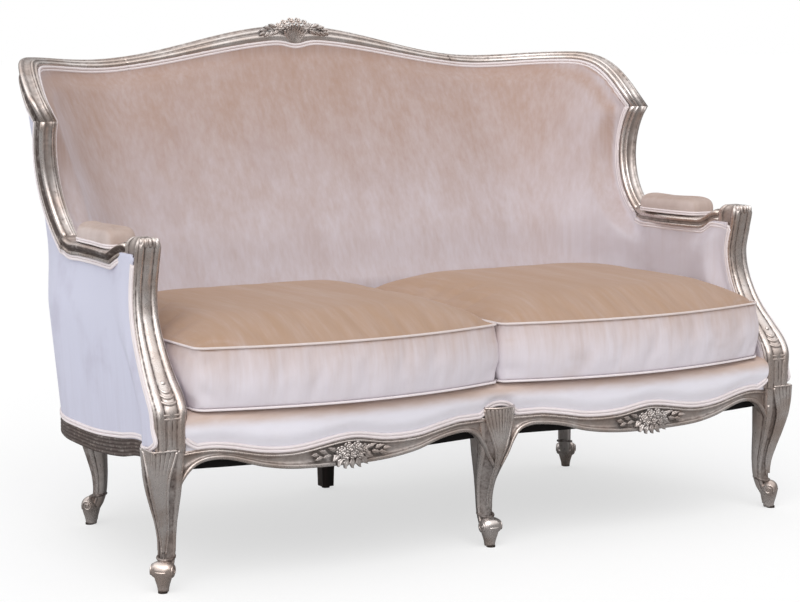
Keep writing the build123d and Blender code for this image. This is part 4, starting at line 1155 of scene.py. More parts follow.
FRONT_FOOT = at(0.730, 0, 0)
CENTRE_FOOT = at(0, 0, 0)
FRONT_TURN = 135
CENTRE_TURN = 180
REAR_TURN = 45
REAR_FOOT = at(*corner_point(drawn_in(OUTSIDE_LOW, 0.044), REAR_TURN), 0)
silver_pair("front_corner_leg", front_leg(FRONT_FOOT, FRONT_TURN, CORNER_TONGUE, 0.0), "front_leg")
silver("front_centre_leg", front_leg(CENTRE_FOOT, CENTRE_TURN, CENTRE_TONGUE, 1.0), "front_leg_centre")
silver_pair("rear_corner_leg", carved_leg(REAR_FOOT, REAR_TURN, slim=0.86), "rear_leg")


# Arm posts

POST_SECTION = run(
    ((-0.5, -0.5), (-0.22, -0.5), (0.22, -0.5), (0.5, -0.5), (0.5, -0.26), (0.5, 0.22), (0.5, 0.5),
     (-0.5, 0.5), (-0.5, 0.22), (-0.5, -0.26), (-0.5, -0.5)),
    (0.30, 0.12, 0.30, 0.30, -0.14, 0.20, 0, 0.20, -0.14, 0.30),
    16,
)


HAND_SHOULDER = 0.640
HAND_CROWN = 0.0168
POST_PANEL = 0.36


def post_front(z, across, lift):
    """A point in front of the arm post, at a distance across from its middle."""
    x, back, _, depth = along(ARM_POST, z)
    return at(x + across, back - depth / 2 - lift, z)


def arm_post():
    """A post with a reeded block at its foot, a pearl over three crescents, and a curled hand."""
    work = Work()
    rows, shades = [], []
    for z in spread(0.268, HAND_SHOULDER, 64) + [0.648, 0.653, 0.6555, 0.6565]:
        x, back, width, depth = along(ARM_POST, z)
        close = sqrt(max(0.0, 1 - ((z - HAND_SHOULDER) / HAND_CROWN) ** 2)) if z > HAND_SHOULDER else 1
        size = 0.55 + 0.45 * close
        panel = ease((z - 0.276) / 0.006) * (1 - ease((z - 0.326) / 0.010))
        row, shade = [], []
        for u, v, glaze_and_shade in POST_SECTION:
            if panel > 0 and (abs(u) < POST_PANEL or abs(v) < POST_PANEL):
                face = u if abs(v) > abs(u) else v
                reed = abs(sin((face / POST_PANEL + 1) * 2 * pi))
                swell = 1 + panel * (0.07 * reed**0.7 - 0.03)
                u, v = (u, v * swell) if abs(v) > abs(u) else (u * swell, v)
                # Between the reeds: glaze and painted shade.
                glaze_and_shade = glaze_and_shade * (1 - panel) + panel * (0.85 * (1 - reed) ** 1.5 + 0.08)
            if z > 0.59:
                v = min(v, (HAND_BACK - 0.0005 - back) / depth)
            row.append(at(x + width * u * size, back + depth * v * size, z))
            shade.append(glaze_and_shade)
        rows.append(row)
        shades.append(shade)
    work.grid(rows, shades, ring=True, caps=True)
    pearl = post_front(0.395, 0, 0.001) - UP * 0.003
    work.ball(pearl, (0.0065, 0.0065, 0.0065), dark_foot=0.4)
    crescent = [0.0006 + 0.0038 * (1 - t * t) for t in spread(-1, 1, 21)]
    for rim, half in ((0.3860, 0.0115), (0.3765, 0.0150), (0.3660, 0.0180)):
        path = [post_front(rim - 0.0085 * (1 - t * t), half * t, 0.0012) for t in spread(-1, 1, 21)]
        work.tube(path, crescent, 8, glaze_and_shade=0.12)
    for z, half, thick in ((0.3315, 0.36, 0.0030), (0.3390, 0.30, 0.0024)):
        width = along(ARM_POST, z)[2]
        work.tube([post_front(z, width * half * t, 0.0005) for t in spread(-1, 1, 9)], thick, 8, glaze_and_shade=0.1)
    for k in range(-2, 3):
        knuckle = at(0.709 + k * 0.0085, 0.082 + 0.002 * abs(k), 0.647)
        work.ball(knuckle, (0.0042, 0.007, 0.0095), dark_foot=0.8)
    return work


silver_pair("arm_post_carving", arm_post(), "arm_post")


# Carvings


def both_ways(rows):
    """Rows of a table and their mirror images, each row with the side it is on."""
    return [(side, *row) for side in (-1, 1) for row in rows]


# Roses of the crest: distance from the middle, rise and radius
CREST_ROSES = (
    (0.040, 0.000, 0.0095),
    (0.026, 0.006, 0.0105),
    (0.009, 0.010, 0.0110),
    (0.018, -0.006, 0.0090),
)
# Leaves of the crest: distance from the middle, drop, turn and length
CREST_LEAVES = (
    (0.046, 0.004, 70, 0.020),
    (0.058, 0.006, 82, 0.020),
    (0.070, 0.010, 92, 0.019),
    (0.040, 0.012, 118, 0.018),
    (0.052, 0.014, 122, 0.018),
    (0.064, 0.016, 118, 0.017),
    (0.074, 0.016, 104, 0.016),
)


def crest_carving():
    """A bouquet that rises from the dip of the crest rail, with roses on its top and leaves to each side."""
    work = Work()
    front, top = OUTSIDE_HIGH.back - FRAME_WIDTH, crest_top(0)
    for k in range(-4, 5):
        root = at(k * 0.0012, front + 0.004, top - 0.047)
        work.leaf(root, leaning(k * 8.5), FACE, 0.050 - 0.0012 * abs(k), 0.0105, 0.12, 0, 0.0042)
    for side, x, rise, radius in both_ways(CREST_ROSES) + [(0, 0.0, -0.004, 0.0100)]:
        centre = at(side * x, front + 0.004, top + rise - 0.002)
        work.rose(centre, Vector((side * x * 6, -1, 0.5)), radius)
    for side, x, drop, turn, length in both_ways(CREST_LEAVES):
        root = at(side * x, front + 0.009 - 0.35 * drop, top - drop)
        work.leaf(root, leaning(turn, side), FACE, length, 0.0125, 0.16, 3, 0.0048)
    return work


silver("crest_flowers", crest_carving(), "crest_carving", smooth=1)

RAIL_FLOWER_X = 0.357
RAIL_FLOWER_FACE = -0.060
# Roses of the rail: distance from their middle, height and radius
RAIL_ROSES = (
    (-0.025, 0.245, 0.0110),
    (-0.009, 0.251, 0.0115),
    (0.010, 0.251, 0.0115),
    (0.026, 0.245, 0.0110),
    (-0.016, 0.235, 0.0095),
    (0.001, 0.237, 0.0100),
    (0.018, 0.235, 0.0095),
)
# Leaves under the roses, and the sprays beside them: distance, height, turn and length
RAIL_BED = ((0.028, 0.237, 122, 0.019), (0.021, 0.231, 145, 0.020), (0.011, 0.229, 164, 0.020))
RAIL_SPRAY = (
    (0.032, 0.245, 70, 0.022),
    (0.044, 0.238, 100, 0.020),
    (0.052, 0.243, 74, 0.020),
    (0.062, 0.236, 104, 0.018),
    (0.070, 0.240, 84, 0.018),
)


def rail_flower():
    """A row of roses on a bed of leaves, with a small spray to each side along the rail."""
    work = Work()
    for dx, z, radius in RAIL_ROSES:
        work.rose(at(RAIL_FLOWER_X + dx, RAIL_FLOWER_FACE - 0.004, z), Vector((dx * 10, -1, 0.15)), radius)
    for side, dx, z, turn, length in both_ways(RAIL_BED) + [(1, 0.0, 0.229, 180, 0.020)]:
        root = at(RAIL_FLOWER_X + side * dx, RAIL_FLOWER_FACE + 0.001, z)
        work.leaf(root, leaning(turn, side), FACE, length, 0.0165, 0.08, 2, 0.0050)
    for side, reach, z, turn, length in both_ways(RAIL_SPRAY):
        x = RAIL_FLOWER_X + side * reach
        bow = along(FRONT_RAIL, (x - FRONT_RAIL_INNER_END) / FRONT_RAIL_LENGTH)[0]
        work.leaf(at(x, 0.003 - bow, z), leaning(turn, side), FACE, length, 0.011, 0.12, 3, 0.0040)
    return work


silver_pair("front_rail_flowers", rail_flower(), "rail_flower", smooth=1)


# Covers on the frame


# How far behind the front of an arm post the covers end on its two sides
POST_MARGIN = 0.016
# How far the covers lap the frame, and how the inside cover rolls behind the post
COVER_LAP = 0.006
INNER_LAP = 0.0005
POST_ROLL = 0.013
COVER_FRONT = -0.02
COVER_TOP = 1.020
# Length over which the line of the arm gives way to that of the stile
STILE_BLEND = 0.075


def wing_room(back, z):
    """Distance of a point below the outer edge of the wing."""
    edge, = along(WING_EDGE, back)
    slope = (along(WING_EDGE, back + 0.004)[0] - along(WING_EDGE, back - 0.004)[0]) / 0.008
    return (edge - z) / hypot(1, slope)


def room_behind_frame(x, back, z, inner):
    """How far a point lies inside the room that posts, arms, wings and crest leave for a cover.
    The inside cover laps further onto the frame than the outside cover."""
    _, post_back, _, post_depth = along(ARM_POST, z)
    behind_post = back - (post_back - post_depth / 2 + POST_MARGIN)
    wood = INNER_SHOW if inner else FRAME_THICK
    if back > EAR_BACK:
        return crest_top(abs(x)) - (crest_show(x) if inner else FRAME_THICK) - z
    stile = hypot(back - STILE_CENTRE[0], z - STILE_CENTRE[1]) - STILE_RADIUS - wood
    arm = min(behind_post, arm_level(back) - ARM_THICK - z)
    if back < ARM_BEND:
        return arm
    if z < STILE_CENTRE[1]:
        onto_stile = ease((back - ARM_BEND) / STILE_BLEND)
        return arm * (1 - onto_stile) + stile * onto_stile if onto_stile < 1 else stile
    return min(wing_room(back, z) - wood, stile)


def cover_point(plan_of, u, z):
    """A point of a cover: u runs 0 to 1 along the side, 1 to 2 round the corner, 2 to 3 to the middle."""
    plan = plan_of(z)
    if u <= 1:
        back = COVER_FRONT + (plan.back - plan.radius - COVER_FRONT) * u
        return at(plan.half, back, z), RIGHT
    if u <= 2:
        turn = 90 * (2 - u)
        return at(*corner_point(plan, turn), z), facing(turn)
    return at((plan.half - plan.radius) * (3 - u), plan.back, z), -FACE


def inner_edge_point(face, out, z):
    """Where the inside cover lies along its edge: on the post, under the arm or behind the moulding."""
    near, far = inner_face(z), inner_edge(z)
    back = face.y - FOOT_LINE
    reach = (far.half - near.half) * out.x**2 + (far.back - near.back) * out.y**2
    past_arm = ease((back - ARM_BEND) / STILE_BLEND)
    edge = face + out * reach * past_arm
    post_x, post_back, post_width, _ = along(ARM_POST, z)
    beside_stile = past_arm * (1 - ease((back - 0.580) / 0.04)) * ease((0.885 - z) / 0.04)
    edge.x += (outside(z).half - FRAME_WIDTH - 0.001 - edge.x) * beside_stile
    onto_post = 1 - ease((back - post_back - 0.03) / 0.06)
    edge.x += (post_x - post_width / 2 - 0.001 - edge.x) * onto_post
    return edge


def outer_edge_point(face, out, z):
    """Where the outside cover lies: drawn onto the outer side of the post, and behind it on its own plan."""
    return face + out * post_flare(face.x, face.y - FOOT_LINE, z)


def cover(plan_of, edge_of, inner, us, heights, crown, flat_below=None):
    """A cover cut to the room behind the frame.

    plan_of is the plan of its face, edge_of gives the line that its edge keeps to, us its columns,
    heights its stops up a column and crown how far its middle swells above flat_below. An inside
    cover is rolled behind the post."""
    work = Work()
    index = {}
    lap = INNER_LAP if inner else COVER_LAP

    def edge_point(u, z):
        face, out = cover_point(plan_of, u, z)
        return edge_of(face, out, z)

    def room_at(u, z):
        point = edge_point(clamp(u, us[0], us[-1]), z)
        return room_behind_frame(point.x, point.y - FOOT_LINE, z, inner) + lap

    columns = [heights(u) for u in us]
    rooms = {(i, j): room_at(us[i], z) for i in range(len(us)) for j, z in enumerate(columns[i])}

    def onto_edge(u, z):
        """Moves a stop that lies under the frame back to the edge of the cover."""
        nudge, scale = 0.002, 0.5
        for _ in range(6):
            here = room_at(u, z)
            slope_z = (room_at(u, z + nudge) - here) / nudge
            slope_u = (room_at(u + nudge / scale, z) - here) / nudge
            size = slope_u**2 + slope_z**2
            if size < 1e-6 or here > -1e-4:
                break
            move = clamp(-here / size, 0, 0.02)
            u, z = u + slope_u * move / scale, z + slope_z * move
        return clamp(u, us[0], us[-1]), z

    def vertex(i, j):
        if (i, j) in index:
            return index[i, j]
        u, z, room = us[i], columns[i][j], rooms[i, j]
        if room < 0:
            u, z = onto_edge(u, z)
            room = 0
        face, out = cover_point(plan_of, u, z)
        point = edge_point(u, z)
        swell = crown * ease((room - lap) / 0.16)
        if flat_below:
            swell *= ease((z - flat_below) / 0.10)
        if inner:
            drawn = ease((room - lap - 0.011) / 0.040)
            point = point.lerp(face, drawn)
            behind = face.y - FOOT_LINE - along(ARM_POST, z)[1]
            roll = POST_ROLL * exp(-(((behind - 0.040) / 0.060) ** 2))
            swell += roll * drawn * ease((z - 0.44) / 0.05)
        index[i, j] = len(work.points)
        work.points.append(point - out * swell)
        work.glaze_and_shade.append(0.0)
        return index[i, j]

    for i in range(len(us) - 1):
        for j in range(len(columns[i]) - 1):
            corners = ((i, j), (i + 1, j), (i + 1, j + 1), (i, j + 1))
            if sum(rooms[c] > 0 for c in corners) < 2:
                continue
            work.faces.append(tuple(vertex(*c) for c in corners))
    return work


def both_halves(work):
    """A cover and its mirror image as one mesh."""
    whole = Work()
    twin = work.mirrored()
    whole.points = work.points + twin.points
    count = len(work.points)
    whole.faces = work.faces + [tuple(count + k for k in face) for face in twin.faces]
    whole.glaze_and_shade = [0.0] * len(whole.points)
    return whole


def weld(piece):
    """Joins the halves of a cover along the middle line."""
    joiner = piece.modifiers.new("weld", "WELD")
    joiner.merge_threshold = 0.0004
    piece.modifiers.move(len(piece.modifiers) - 1, 0)


def inner_face(z):
    return inside(min(z, 1.0))


def inner_edge(z):
    """The plan of the inner side of the frame's moulding, where the inside cover ends."""
    return drawn_in(outside(min(z + FRAME_THICK, OUTSIDE_HIGH.z)), FRAME_WIDTH + 0.0010)


side_us = spread(0, 1, 59)
corner_us = spread(1, 2, 37)[1:]
back_us = spread(2, 3, 39)[1:]
inner_heights = spread(0.330, COVER_TOP, 84)
inner_cover = cover(
    inner_face, inner_edge_point, True, side_us + corner_us + back_us, lambda u: inner_heights, 0.010, 0.50
)
inside_nodes = ["inside_back", "inside_wing_left", "inside_wing_right", "inside_arm_left", "inside_arm_right"]
inside_cover = make(
    "inside_cover", both_halves(inner_cover), back_velvet, inside_nodes, shell=0.004
)
weld(inside_cover)


def outer_face(z):
    return drawn_in(outside(z), 0.006)


def outer_heights(u):
    """Stops up the outside cover, from behind the top edge of the rail."""
    straight = OUTSIDE_LOW.back - OUTSIDE_LOW.radius - COVER_FRONT
    length = COVER_FRONT - SIDE_RAIL_START + straight * min(u, 1)
    length += OUTSIDE_LOW.radius * pi / 2 * clamp(u - 1)
    foot = along(SIDE_RAIL, min(length, SIDE_RAIL[-1][0]))[1] - 0.004
    foot += 0.014 * (1 - ease((length + 0.010) / 0.030))
    return spread(foot, COVER_TOP, 84)


outer_side = cover(outer_face, outer_edge_point, False, side_us + corner_us, outer_heights, -0.002)
outer_back = cover(outer_face, outer_edge_point, False, [2.0] + back_us, outer_heights, -0.002)


for side, half in (("right", outer_side), ("left", outer_side.mirrored())):
    nodes = [f"outside_arm_{side}", f"outside_wing_{side}"]
    piece = make(f"outside_side_cover_{side}", half, side_velvet, nodes, shell=0.003)
outer_back = both_halves(outer_back)
piece = make("outside_back_cover", outer_back, side_velvet, ["outside_back"], shell=0.003)
weld(piece)


# Front border, from the top edge of the rails to the deck


SHELL_ARCH = 0.040
BORDER_ROUND = 0.018


def border_foot(x):
    """Bow of the front rail and the foot of the border above it, arched over the centre shell."""
    share = max(-0.03, (abs(x) - FRONT_RAIL_INNER_END) / FRONT_RAIL_LENGTH)
    bow, _, foot = along(FRONT_RAIL, share)
    if abs(x) < SHELL_ARCH:
        foot = max(foot, 0.268 + (SHELL_TOP - 0.267) * sqrt(1 - (x / SHELL_ARCH) ** 2))
    return bow, foot


def border_column(x):
    bow, foot = border_foot(x)
    shoulder = DECK_TOP - BORDER_ROUND

    def swell(z):
        return -0.009 + 0.013 * ease((z - foot - 0.006) / 0.032)

    column = [at(x, -swell(z) - bow, z) for z in spread(foot - 0.003, shoulder, 11)]
    for angle in spread(15, 90, 6):
        inward = BORDER_ROUND * (1 - cos(radians(angle))) + 0.030 * ease((angle - 45) / 45)
        column.append(at(x, inward - swell(shoulder) - bow, shoulder + BORDER_ROUND * sin(radians(angle))))
    column.append(at(x, 0.045, DECK_TOP))
    return column


border = Work()
border.grid([border_column(x) for x in spread(-0.697, 0.697, 150)])
piece = make("front_border_cover", border, border_velvet, ["front_border"], smooth=1, shell=0.004)


# Double welt along every edge where a cover meets the show-wood


def double_welt(work, path, across):
    """Two cords side by side along a path. across gives the direction from cord to cord."""
    for shift in (-1, 1):
        work.tube([p + a * WELT * 0.93 * shift for p, a in zip(path, across)], WELT, 8)


def edge_welts(work, stations, inner=True):
    """A welt along the inner or the outer lower edge of a swept moulding."""
    path, across = [], []
    for s in stations:
        p = -s.width - 0.0034 if inner else -0.0045
        wood = s.inner if inner else s.thick
        if inner and s is MITRE:
            wood *= s.thick / FRAME_THICK
        path.append(s.origin + s.out * p - s.up * (wood + WELT * 1.7))
        across.append(s.up)
    double_welt(work, path, across)


def arm_line(stations):
    """Points on the inside cover along the underside of the arm, from its hand to its bend."""
    line = []
    for s in stations:
        low = s.origin - s.up * (s.thick + WELT * 1.75)
        face = Vector((inside(low.z).half, low.y, low.z))
        line.append(inner_edge_point(face, RIGHT, low.z) - RIGHT * 0.003)
    return line


def post_line(side, start, count):
    """Points up an arm post on its inner (-1) or outer (1) side, close behind its front."""
    line = []
    for z in spread(start, 0.606, count):
        off_post = along(ARM_POST, z)[2] / 2 + (0.0045 if side > 0 else 0.0020)
        line.append(post_front(z, side * off_post, -0.012 * ease((z - 0.28) / 0.04)))
    return line


def crossing(path, faces):
    """The direction from cord to cord at each point of a path, from the way its cover faces there."""
    across = []
    for i, face in enumerate(faces):
        heading = path[min(i + 1, len(path) - 1)] - path[max(i - 1, 0)]
        across.append(heading.cross(face).normalized())
    return across


side_welts = Work()
for stations in (wing_run, stile_run):
    edge_welts(side_welts, stations)
    edge_welts(side_welts, stations, inner=False)
edge_welts(side_welts, arm_run[1:], inner=False)
rail_line = []
for s in reversed([s for s in side_rail_run if s.back > 0.105]):
    rail_line.append(at(s.x, s.back, s.high + WELT * 1.7) - facing(s.turn) * 0.0055)
for back, z in ((0.085, 0.2725), (0.060, 0.2710), (0.035, 0.2702), (0.010, 0.2712), (-0.006, 0.2770)):
    rail_line.append(outer_edge_point(at(outer_face(z).half, back, z), RIGHT, z) + RIGHT * 0.0012)
rail_line = smooth_path(rail_line + post_line(1, 0.290, 26), 170)
faces = []
for point in rail_line:
    past_side = (point.y - FOOT_LINE - SIDE_RAIL_STRAIGHT - SIDE_RAIL_START) / OUTSIDE_LOW.radius
    faces.append(facing(90 * (1 - clamp(past_side))))
double_welt(side_welts, rail_line, crossing(rail_line, faces))
make_pair("side_double_welt", side_welts, welt_velvet)

middle_welts = Work()
edge_welts(middle_welts, crest_run)
edge_welts(middle_welts, crest_run, inner=False)
path = [at(s.x, s.back - 0.0065, s.high + WELT * 1.7) for s in rear_rail_run]
double_welt(middle_welts, path, [UP] * len(path))
border_line = []
for x in spread(0, 0.668, 90):
    bow, foot = border_foot(x)
    border_line.append(at(x, 0.0035 - bow, foot + 0.0050))
border_line = smooth_path(border_line + post_line(-1, 0.290, 24) + arm_line(arm_run[2:-1]), 260)
border_line = [mirror(point) for point in reversed(border_line[1:])] + border_line
faces = []
for point in border_line:
    inward = -RIGHT if point.x > 0 else RIGHT
    faces.append(FACE.lerp(inward, ease((point.z - 0.29) / 0.05)))
double_welt(middle_welts, border_line, crossing(border_line, faces))
make("middle_double_welt", middle_welts, welt_velvet)


# Arm pads


PAD_X = 0.7075
PAD_MIDDLE = 0.323
PAD_HALF_WIDTH = 0.034
PAD_HALF_LENGTH = 0.107
PAD_HEIGHT = 0.037
# Side of the pad from its foot to its top: share of its height and inset
PAD_SIDE = (
    (0.0, 0.003), (0.08, 0.0), (0.3, -0.0012), (0.56, -0.0006),
    (0.76, 0.0022), (0.89, 0.0070), (0.965, 0.0140), (1.0, 0.0240),
)


def pad_point(angle, half_width, half_length, lift):
    c, s = squared(angle, 0.42)
    return at(PAD_X + half_width * c, PAD_MIDDLE + half_length * s, ARM_TOP + lift)


arm_pad = Work()
arm_pad.grid([
    [
        pad_point(
            angle, PAD_HALF_WIDTH - inset, PAD_HALF_LENGTH - inset * 1.1,
            0.001 + PAD_HEIGHT * rise - 0.002 * sin(3 * angle) * rise,
        )
        for angle in around(48)
    ]
    for rise, inset in PAD_SIDE
], ring=True, caps=True)
for piece in make_pair("arm_pad_cover", arm_pad, pad_velvet, ["arm_pad"], smooth=2):
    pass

pad_welts = Work()
for lift in (0.0015, 0.0058):
    path = [pad_point(angle, PAD_HALF_WIDTH + 0.0005, PAD_HALF_LENGTH + 0.001, lift) for angle in around(72)]
    pad_welts.tube(path, 0.0023, 8, loop=True)
make_pair("arm_pad_welt", pad_welts, welt_velvet)


# Loose seat cushions


def corner_inset(x, outer_radius):
    """How far an edge of the cushion draws in where its corners turn."""
    past_seam = CUSHION_LEFT + CUSHION_SEAM_RADIUS - x
    past_outer = x - CUSHION_RIGHT + outer_radius
    for radius, past in ((CUSHION_SEAM_RADIUS, past_seam), (outer_radius, past_outer)):
        if past > 0:
            return radius - sqrt(max(0, radius**2 - past**2))
    return 0


def cushion_front(x):
    """Front edge of the right cushion at a distance from the middle of the sofa."""
    start, end = CUSHION_LEFT + CUSHION_SEAM_RADIUS, CUSHION_RIGHT - CUSHION_NOSE_RADIUS
    t = clamp((x - (start + end) / 2) / ((end - start) / 2), -1, 1)
    bow = (CUSHION_BOW - CUSHION_FRONT) * (1 - t * t)
    return CUSHION_FRONT + bow + corner_inset(x, CUSHION_NOSE_RADIUS)


def cushion_back(x):
    return CUSHION_BACK - corner_inset(x, CUSHION_REAR_RADIUS)


def cushion_columns():
    """Stops across the cushion, close together where its corners turn."""
    seam_end, turn_start = CUSHION_LEFT + CUSHION_SEAM_RADIUS, CUSHION_RIGHT - CUSHION_REAR_RADIUS
    stops = [CUSHION_LEFT + CUSHION_SEAM_RADIUS * (1 - cos(pi / 2 * i / 4)) for i in range(4)]
    stops += spread(seam_end, turn_start, 30)
    return stops + [turn_start + CUSHION_REAR_RADIUS * sin(pi / 2 * i / 18) for i in range(1, 19)]


CUSHION_ROWS = 42
CUSHION_CROWN = 0.032
SOLE_CROWN = -0.006
BOXING_LEVELS = 9
BOXING_SWELL = 0.006
MOST_SWELLING = 0.024
PIPING = 0.0024


def outward(loop, k):
    """The level direction out of a seam at one of its points."""
    tangent = loop[(k + 1) % len(loop)] - loop[k - 1]
    return Vector((tangent.y, -tangent.x, 0)).normalized()


def cushion_mesh():
    """A boxed cushion as one closed mesh, with its two seams as loops of points."""
    columns = cushion_columns()
    work = Work()
    wide, deep = len(columns), CUSHION_ROWS

    def sheet_of(z, crown):
        start = len(work.points)
        for x in columns:
            front, back = cushion_front(x), cushion_back(x)
            for j in range(deep):
                v = (1 - cos(pi * j / (deep - 1))) / 2 * 0.6 + j / (deep - 1) * 0.4
                y = front + (back - front) * v
                edge = min(x - CUSHION_LEFT, CUSHION_RIGHT - x, y - front, back - y)
                swell = crown * (1 - exp(-edge / 0.055))
                work.points.append(at(x, y, z + swell))
        return lambda i, j: start + i * deep + j

    top = sheet_of(CUSHION_HIGH, CUSHION_CROWN)
    sole = sheet_of(CUSHION_LOW, SOLE_CROWN)
    for i in range(wide - 1):
        for j in range(deep - 1):
            work.faces.append((top(i, j), top(i + 1, j), top(i + 1, j + 1), top(i, j + 1)))
            work.faces.append((sole(i, j), sole(i, j + 1), sole(i + 1, j + 1), sole(i + 1, j)))
    rim = [(i, 0) for i in range(wide)] + [(wide - 1, j) for j in range(1, deep)]
    rim += [(i, deep - 1) for i in reversed(range(wide - 1))] + [(0, j) for j in reversed(range(1, deep - 1))]
    seams = [[sole(*spot) for spot in rim], [top(*spot) for spot in rim]]
    count = len(rim)
    sole_seam = [work.points[k] for k in seams[0]]
    loops = [seams[0]]
    for level in range(1, BOXING_LEVELS):
        t = level / BOXING_LEVELS
        loop = []
        for k in range(count):
            low, high = work.points[seams[0][k]], work.points[seams[1][k]]
            loop.append(len(work.points))
            work.points.append(low.lerp(high, t) + outward(sole_seam, k) * BOXING_SWELL * sin(pi * t))
        loops.append(loop)
    loops.append(seams[1])
    for low, high in zip(loops, loops[1:]):
        for k in range(count):
            m = (k + 1) % count
            work.faces.append((low[k], low[m], high[m], high[k]))
    work.glaze_and_shade = [0.0] * len(work.points)
    return work, seams


SWELLING_STEPS = 20


def inflate(work, seams):
    """Blows up the cushion as sewn cloth, held along its seams and on the deck."""
    mesh = bpy.data.meshes.new("cushion_pattern")
    mesh.from_pydata(work.points, [], work.faces)
    cloth = bpy.data.objects.new("cushion_pattern", mesh)
    bpy.context.collection.objects.link(cloth)
    held = cloth.vertex_groups.new(name="sewn")
    held.add([k for loop in seams for k in loop], 1.0, "REPLACE")
    held.add([k for k, p in enumerate(work.points) if p.z < CUSHION_LOW - 0.001], 1.0, "REPLACE")
    bag = cloth.modifiers.new("filling", "CLOTH")
    settings = bag.settings
    settings.quality = 6
    settings.mass = 0.25
    settings.tension_stiffness = settings.compression_stiffness = 8
    settings.shear_stiffness = 4
    settings.bending_stiffness = 0.4
    settings.use_pressure = True
    settings.uniform_pressure_force = 4.5
    settings.vertex_group_mass = "sewn"
    settings.effector_weights.gravity = 0
    settings.shrink_min = -0.03
    bag.point_cache.frame_end = SWELLING_STEPS
    scene = bpy.context.scene
    for step in range(1, SWELLING_STEPS + 1):
        scene.frame_set(step)
    blown = cloth.evaluated_get(bpy.context.evaluated_depsgraph_get())
    for k, vertex in enumerate(blown.data.vertices):
        move = vertex.co - work.points[k]
        if move.length > MOST_SWELLING:
            move = move.normalized() * MOST_SWELLING
        work.points[k] = work.points[k] + move
    scene.frame_set(1)
    bpy.data.objects.remove(cloth)
    bpy.data.meshes.remove(mesh)


cushion, cushion_seams = cushion_mesh()
inflate(cushion, cushion_seams)
piping = Work()
for loop, lift in zip(cushion_seams, (-0.001, 0.001)):
    seam = [cushion.points[k] for k in loop]
    path = [point + outward(seam, k) * 0.0022 + UP * lift for k, point in enumerate(seam)]
    piping.tube(path, PIPING, 8, loop=True)
for side, bag, cords in (("right", cushion, piping), ("left", cushion.mirrored(), piping.mirrored())):
    body = f"cushion_{side}"
    piece = make(f"cushion_cover_{side}", bag, cushion_velvet, [f"seat_cushion_{side}"], body, 1)
    make(f"cushion_cords_{side}", cords, cord_velvet, [f"cushion_piping_{side}"], body)


# Deck under the cushions and dust cover under the seat


def level_cloth(plan, front, z):
    """A level cloth inside a plan, as rings round its middle."""
    half = [(plan.half, front)] + [corner_point(plan, turn) for turn in spread(90, 0, 14)]
    outline = half + [(-x, back) for x, back in reversed(half)]
    middle = (plan.back + front) / 2
    work = Work()
    work.grid([
        [at(x * share, middle + (back - middle) * share, z) for x, back in outline]
        for share in (1.0, 0.985, 0.93, 0.8, 0.6, 0.4, 0.2, 0.02)
    ], ring=True)
    start = len(work.points) - len(outline)
    work.faces.append(tuple(range(start, start + len(outline))))
    return work


deck_work = level_cloth(drawn_in(inside(0.281), 0.003), 0.047, DECK_TOP - 0.001)
deck = make("deck_cover", deck_work, deck_cloth, ["seat_deck"], shell=0.006)


def dust_sheet():
    """Black cloth under the seat. Its front edge turns up behind the front rails."""
    plan = drawn_in(OUTSIDE_LOW, 0.023)
    straight = plan.half - plan.radius
    rows = []
    for x in spread(-plan.half, plan.half, 121):
        turned = SHOW_DEPTH + 0.0010 - border_foot(min(abs(x), 0.676))[0]
        past = max(0, abs(x) - straight)
        back = plan.back - plan.radius + sqrt(max(0, plan.radius**2 - past**2))
        row = [at(x, turned, z) for z in (0.262, 0.245, 0.2305)]
        for share in spread(0.004, 1, 24):
            row.append(at(x, turned + (back - turned) * share, RAIL_UNDER - 0.0012))
        rows.append(row)
    work = Work()
    work.grid(rows)
    return work


dust = make("dust_cloth_sheet", dust_sheet(), dust_cloth, ["dust_cover"], shell=0.0008)


# Parts of the solid model that keep their shape


for names, material in (
    (("rear_post_left", "rear_post_centre", "rear_post_right", "back_tack_rail", "corner_blocks",
      "seat_stretcher", "dowels"), beech),
    (("rear_leg_centre",), beech_painted_shade),
    (("webbing_lengthways", "webbing_crosswise"), webbing_cloth),
    (("foot_glides",), glide_felt),
):
    for name in names:
        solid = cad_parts[name]
        solid.data.materials.clear()
        solid.data.materials.append(material)


# Floor, light and camera


FLOOR_REACH = 40


def grey(value):
    return (value, value, value, 1)


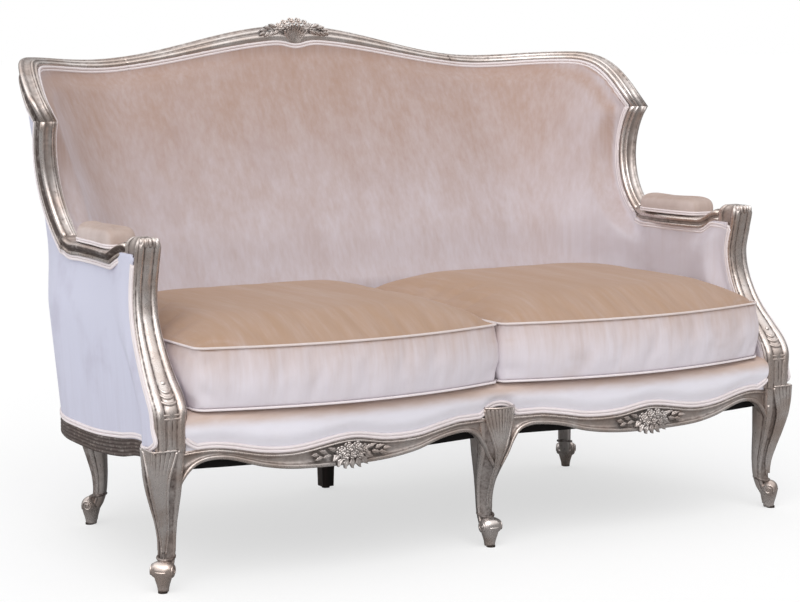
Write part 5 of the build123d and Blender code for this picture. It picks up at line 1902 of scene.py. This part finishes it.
def studio():
    floor_mesh = bpy.data.meshes.new("floor")
    corners = [(x * FLOOR_REACH, y * FLOOR_REACH, 0) for x, y in ((-1, -1), (1, -1), (1, 1), (-1, 1))]
    floor_mesh.from_pydata(corners, [], [(0, 1, 2, 3)])
    floor = bpy.data.objects.new("floor", floor_mesh)
    bpy.context.collection.objects.link(floor)
    paper = bpy.data.materials.new("floor_paper")
    paper.use_nodes = True
    n = Nodes(paper.node_tree)
    shader = paper.node_tree.nodes["Principled BSDF"]
    shader.inputs["Roughness"].default_value = 1.0
    shader.inputs["Specular IOR Level"].default_value = 0.0
    ray = n.put("LightPath")
    seen = ray.outputs["Is Camera Ray"]
    plain = n.mix(ray.outputs["Is Glossy Ray"], grey(0.80), grey(0.30))
    n.join(n.mix(seen, plain, grey(0.37)), shader.inputs["Base Color"])
    n.join(n.mix(seen, grey(0), grey(0.63)), shader.inputs["Emission Color"])
    shader.inputs["Emission Strength"].default_value = 1.0
    floor_mesh.materials.append(paper)

    world = bpy.data.worlds.new("studio")
    bpy.context.scene.world = world
    world.use_nodes = True
    n = Nodes(world.node_tree)
    sky = world.node_tree.nodes["Background"]
    ray = n.put("LightPath")
    seen = n.sum("MAXIMUM", ray.outputs["Is Camera Ray"], ray.outputs["Is Transmission Ray"])
    height = n.put("SeparateXYZ")
    n.join(n.put("TexCoord").outputs["Generated"], height.inputs[0])
    ceiling = n.remap(height.outputs["Z"], 0.15, 0.70, 0.20, 1.40)
    strip = n.remap(n.sum("ABSOLUTE", n.sum("ADD", height.outputs["X"], 0.62)), 0.06, 0.26, 0.95, 0.0)
    softbox = n.sum("ADD", ceiling, strip)
    room = n.mix(ray.outputs["Is Glossy Ray"], grey(0.64), softbox)
    n.join(n.mix(seen, room, grey(1)), sky.inputs["Color"])
    for name, strength, spread_angle, aim in (
        ("key", 1.27, 50, (0.35, 0.75, -1.0)),
        ("side", 0.62, 60, (0.9, 0.35, -0.40)),
    ):
        lamp = bpy.data.lights.new(name, "SUN")
        lamp.energy = strength
        lamp.angle = radians(spread_angle)
        sun = bpy.data.objects.new(name, lamp)
        sun.rotation_euler = Vector(aim).to_track_quat("-Z", "Y").to_euler()
        bpy.context.collection.objects.link(sun)


def place_camera():
    lens = bpy.data.cameras.new("camera")
    lens.sensor_width = 36
    lens.lens = 104.1
    lens.clip_end = 200
    camera = bpy.data.objects.new("camera", lens)
    camera.location = (-2.516, -4.228, 1.078)
    camera.rotation_euler = (radians(90 - 7.16), 0, radians(-30.93))
    bpy.context.collection.objects.link(camera)
    bpy.context.scene.camera = camera


studio()
place_camera()
bpy.context.scene.view_settings.view_transform = "Standard"
bpy.context.view_layer.update()
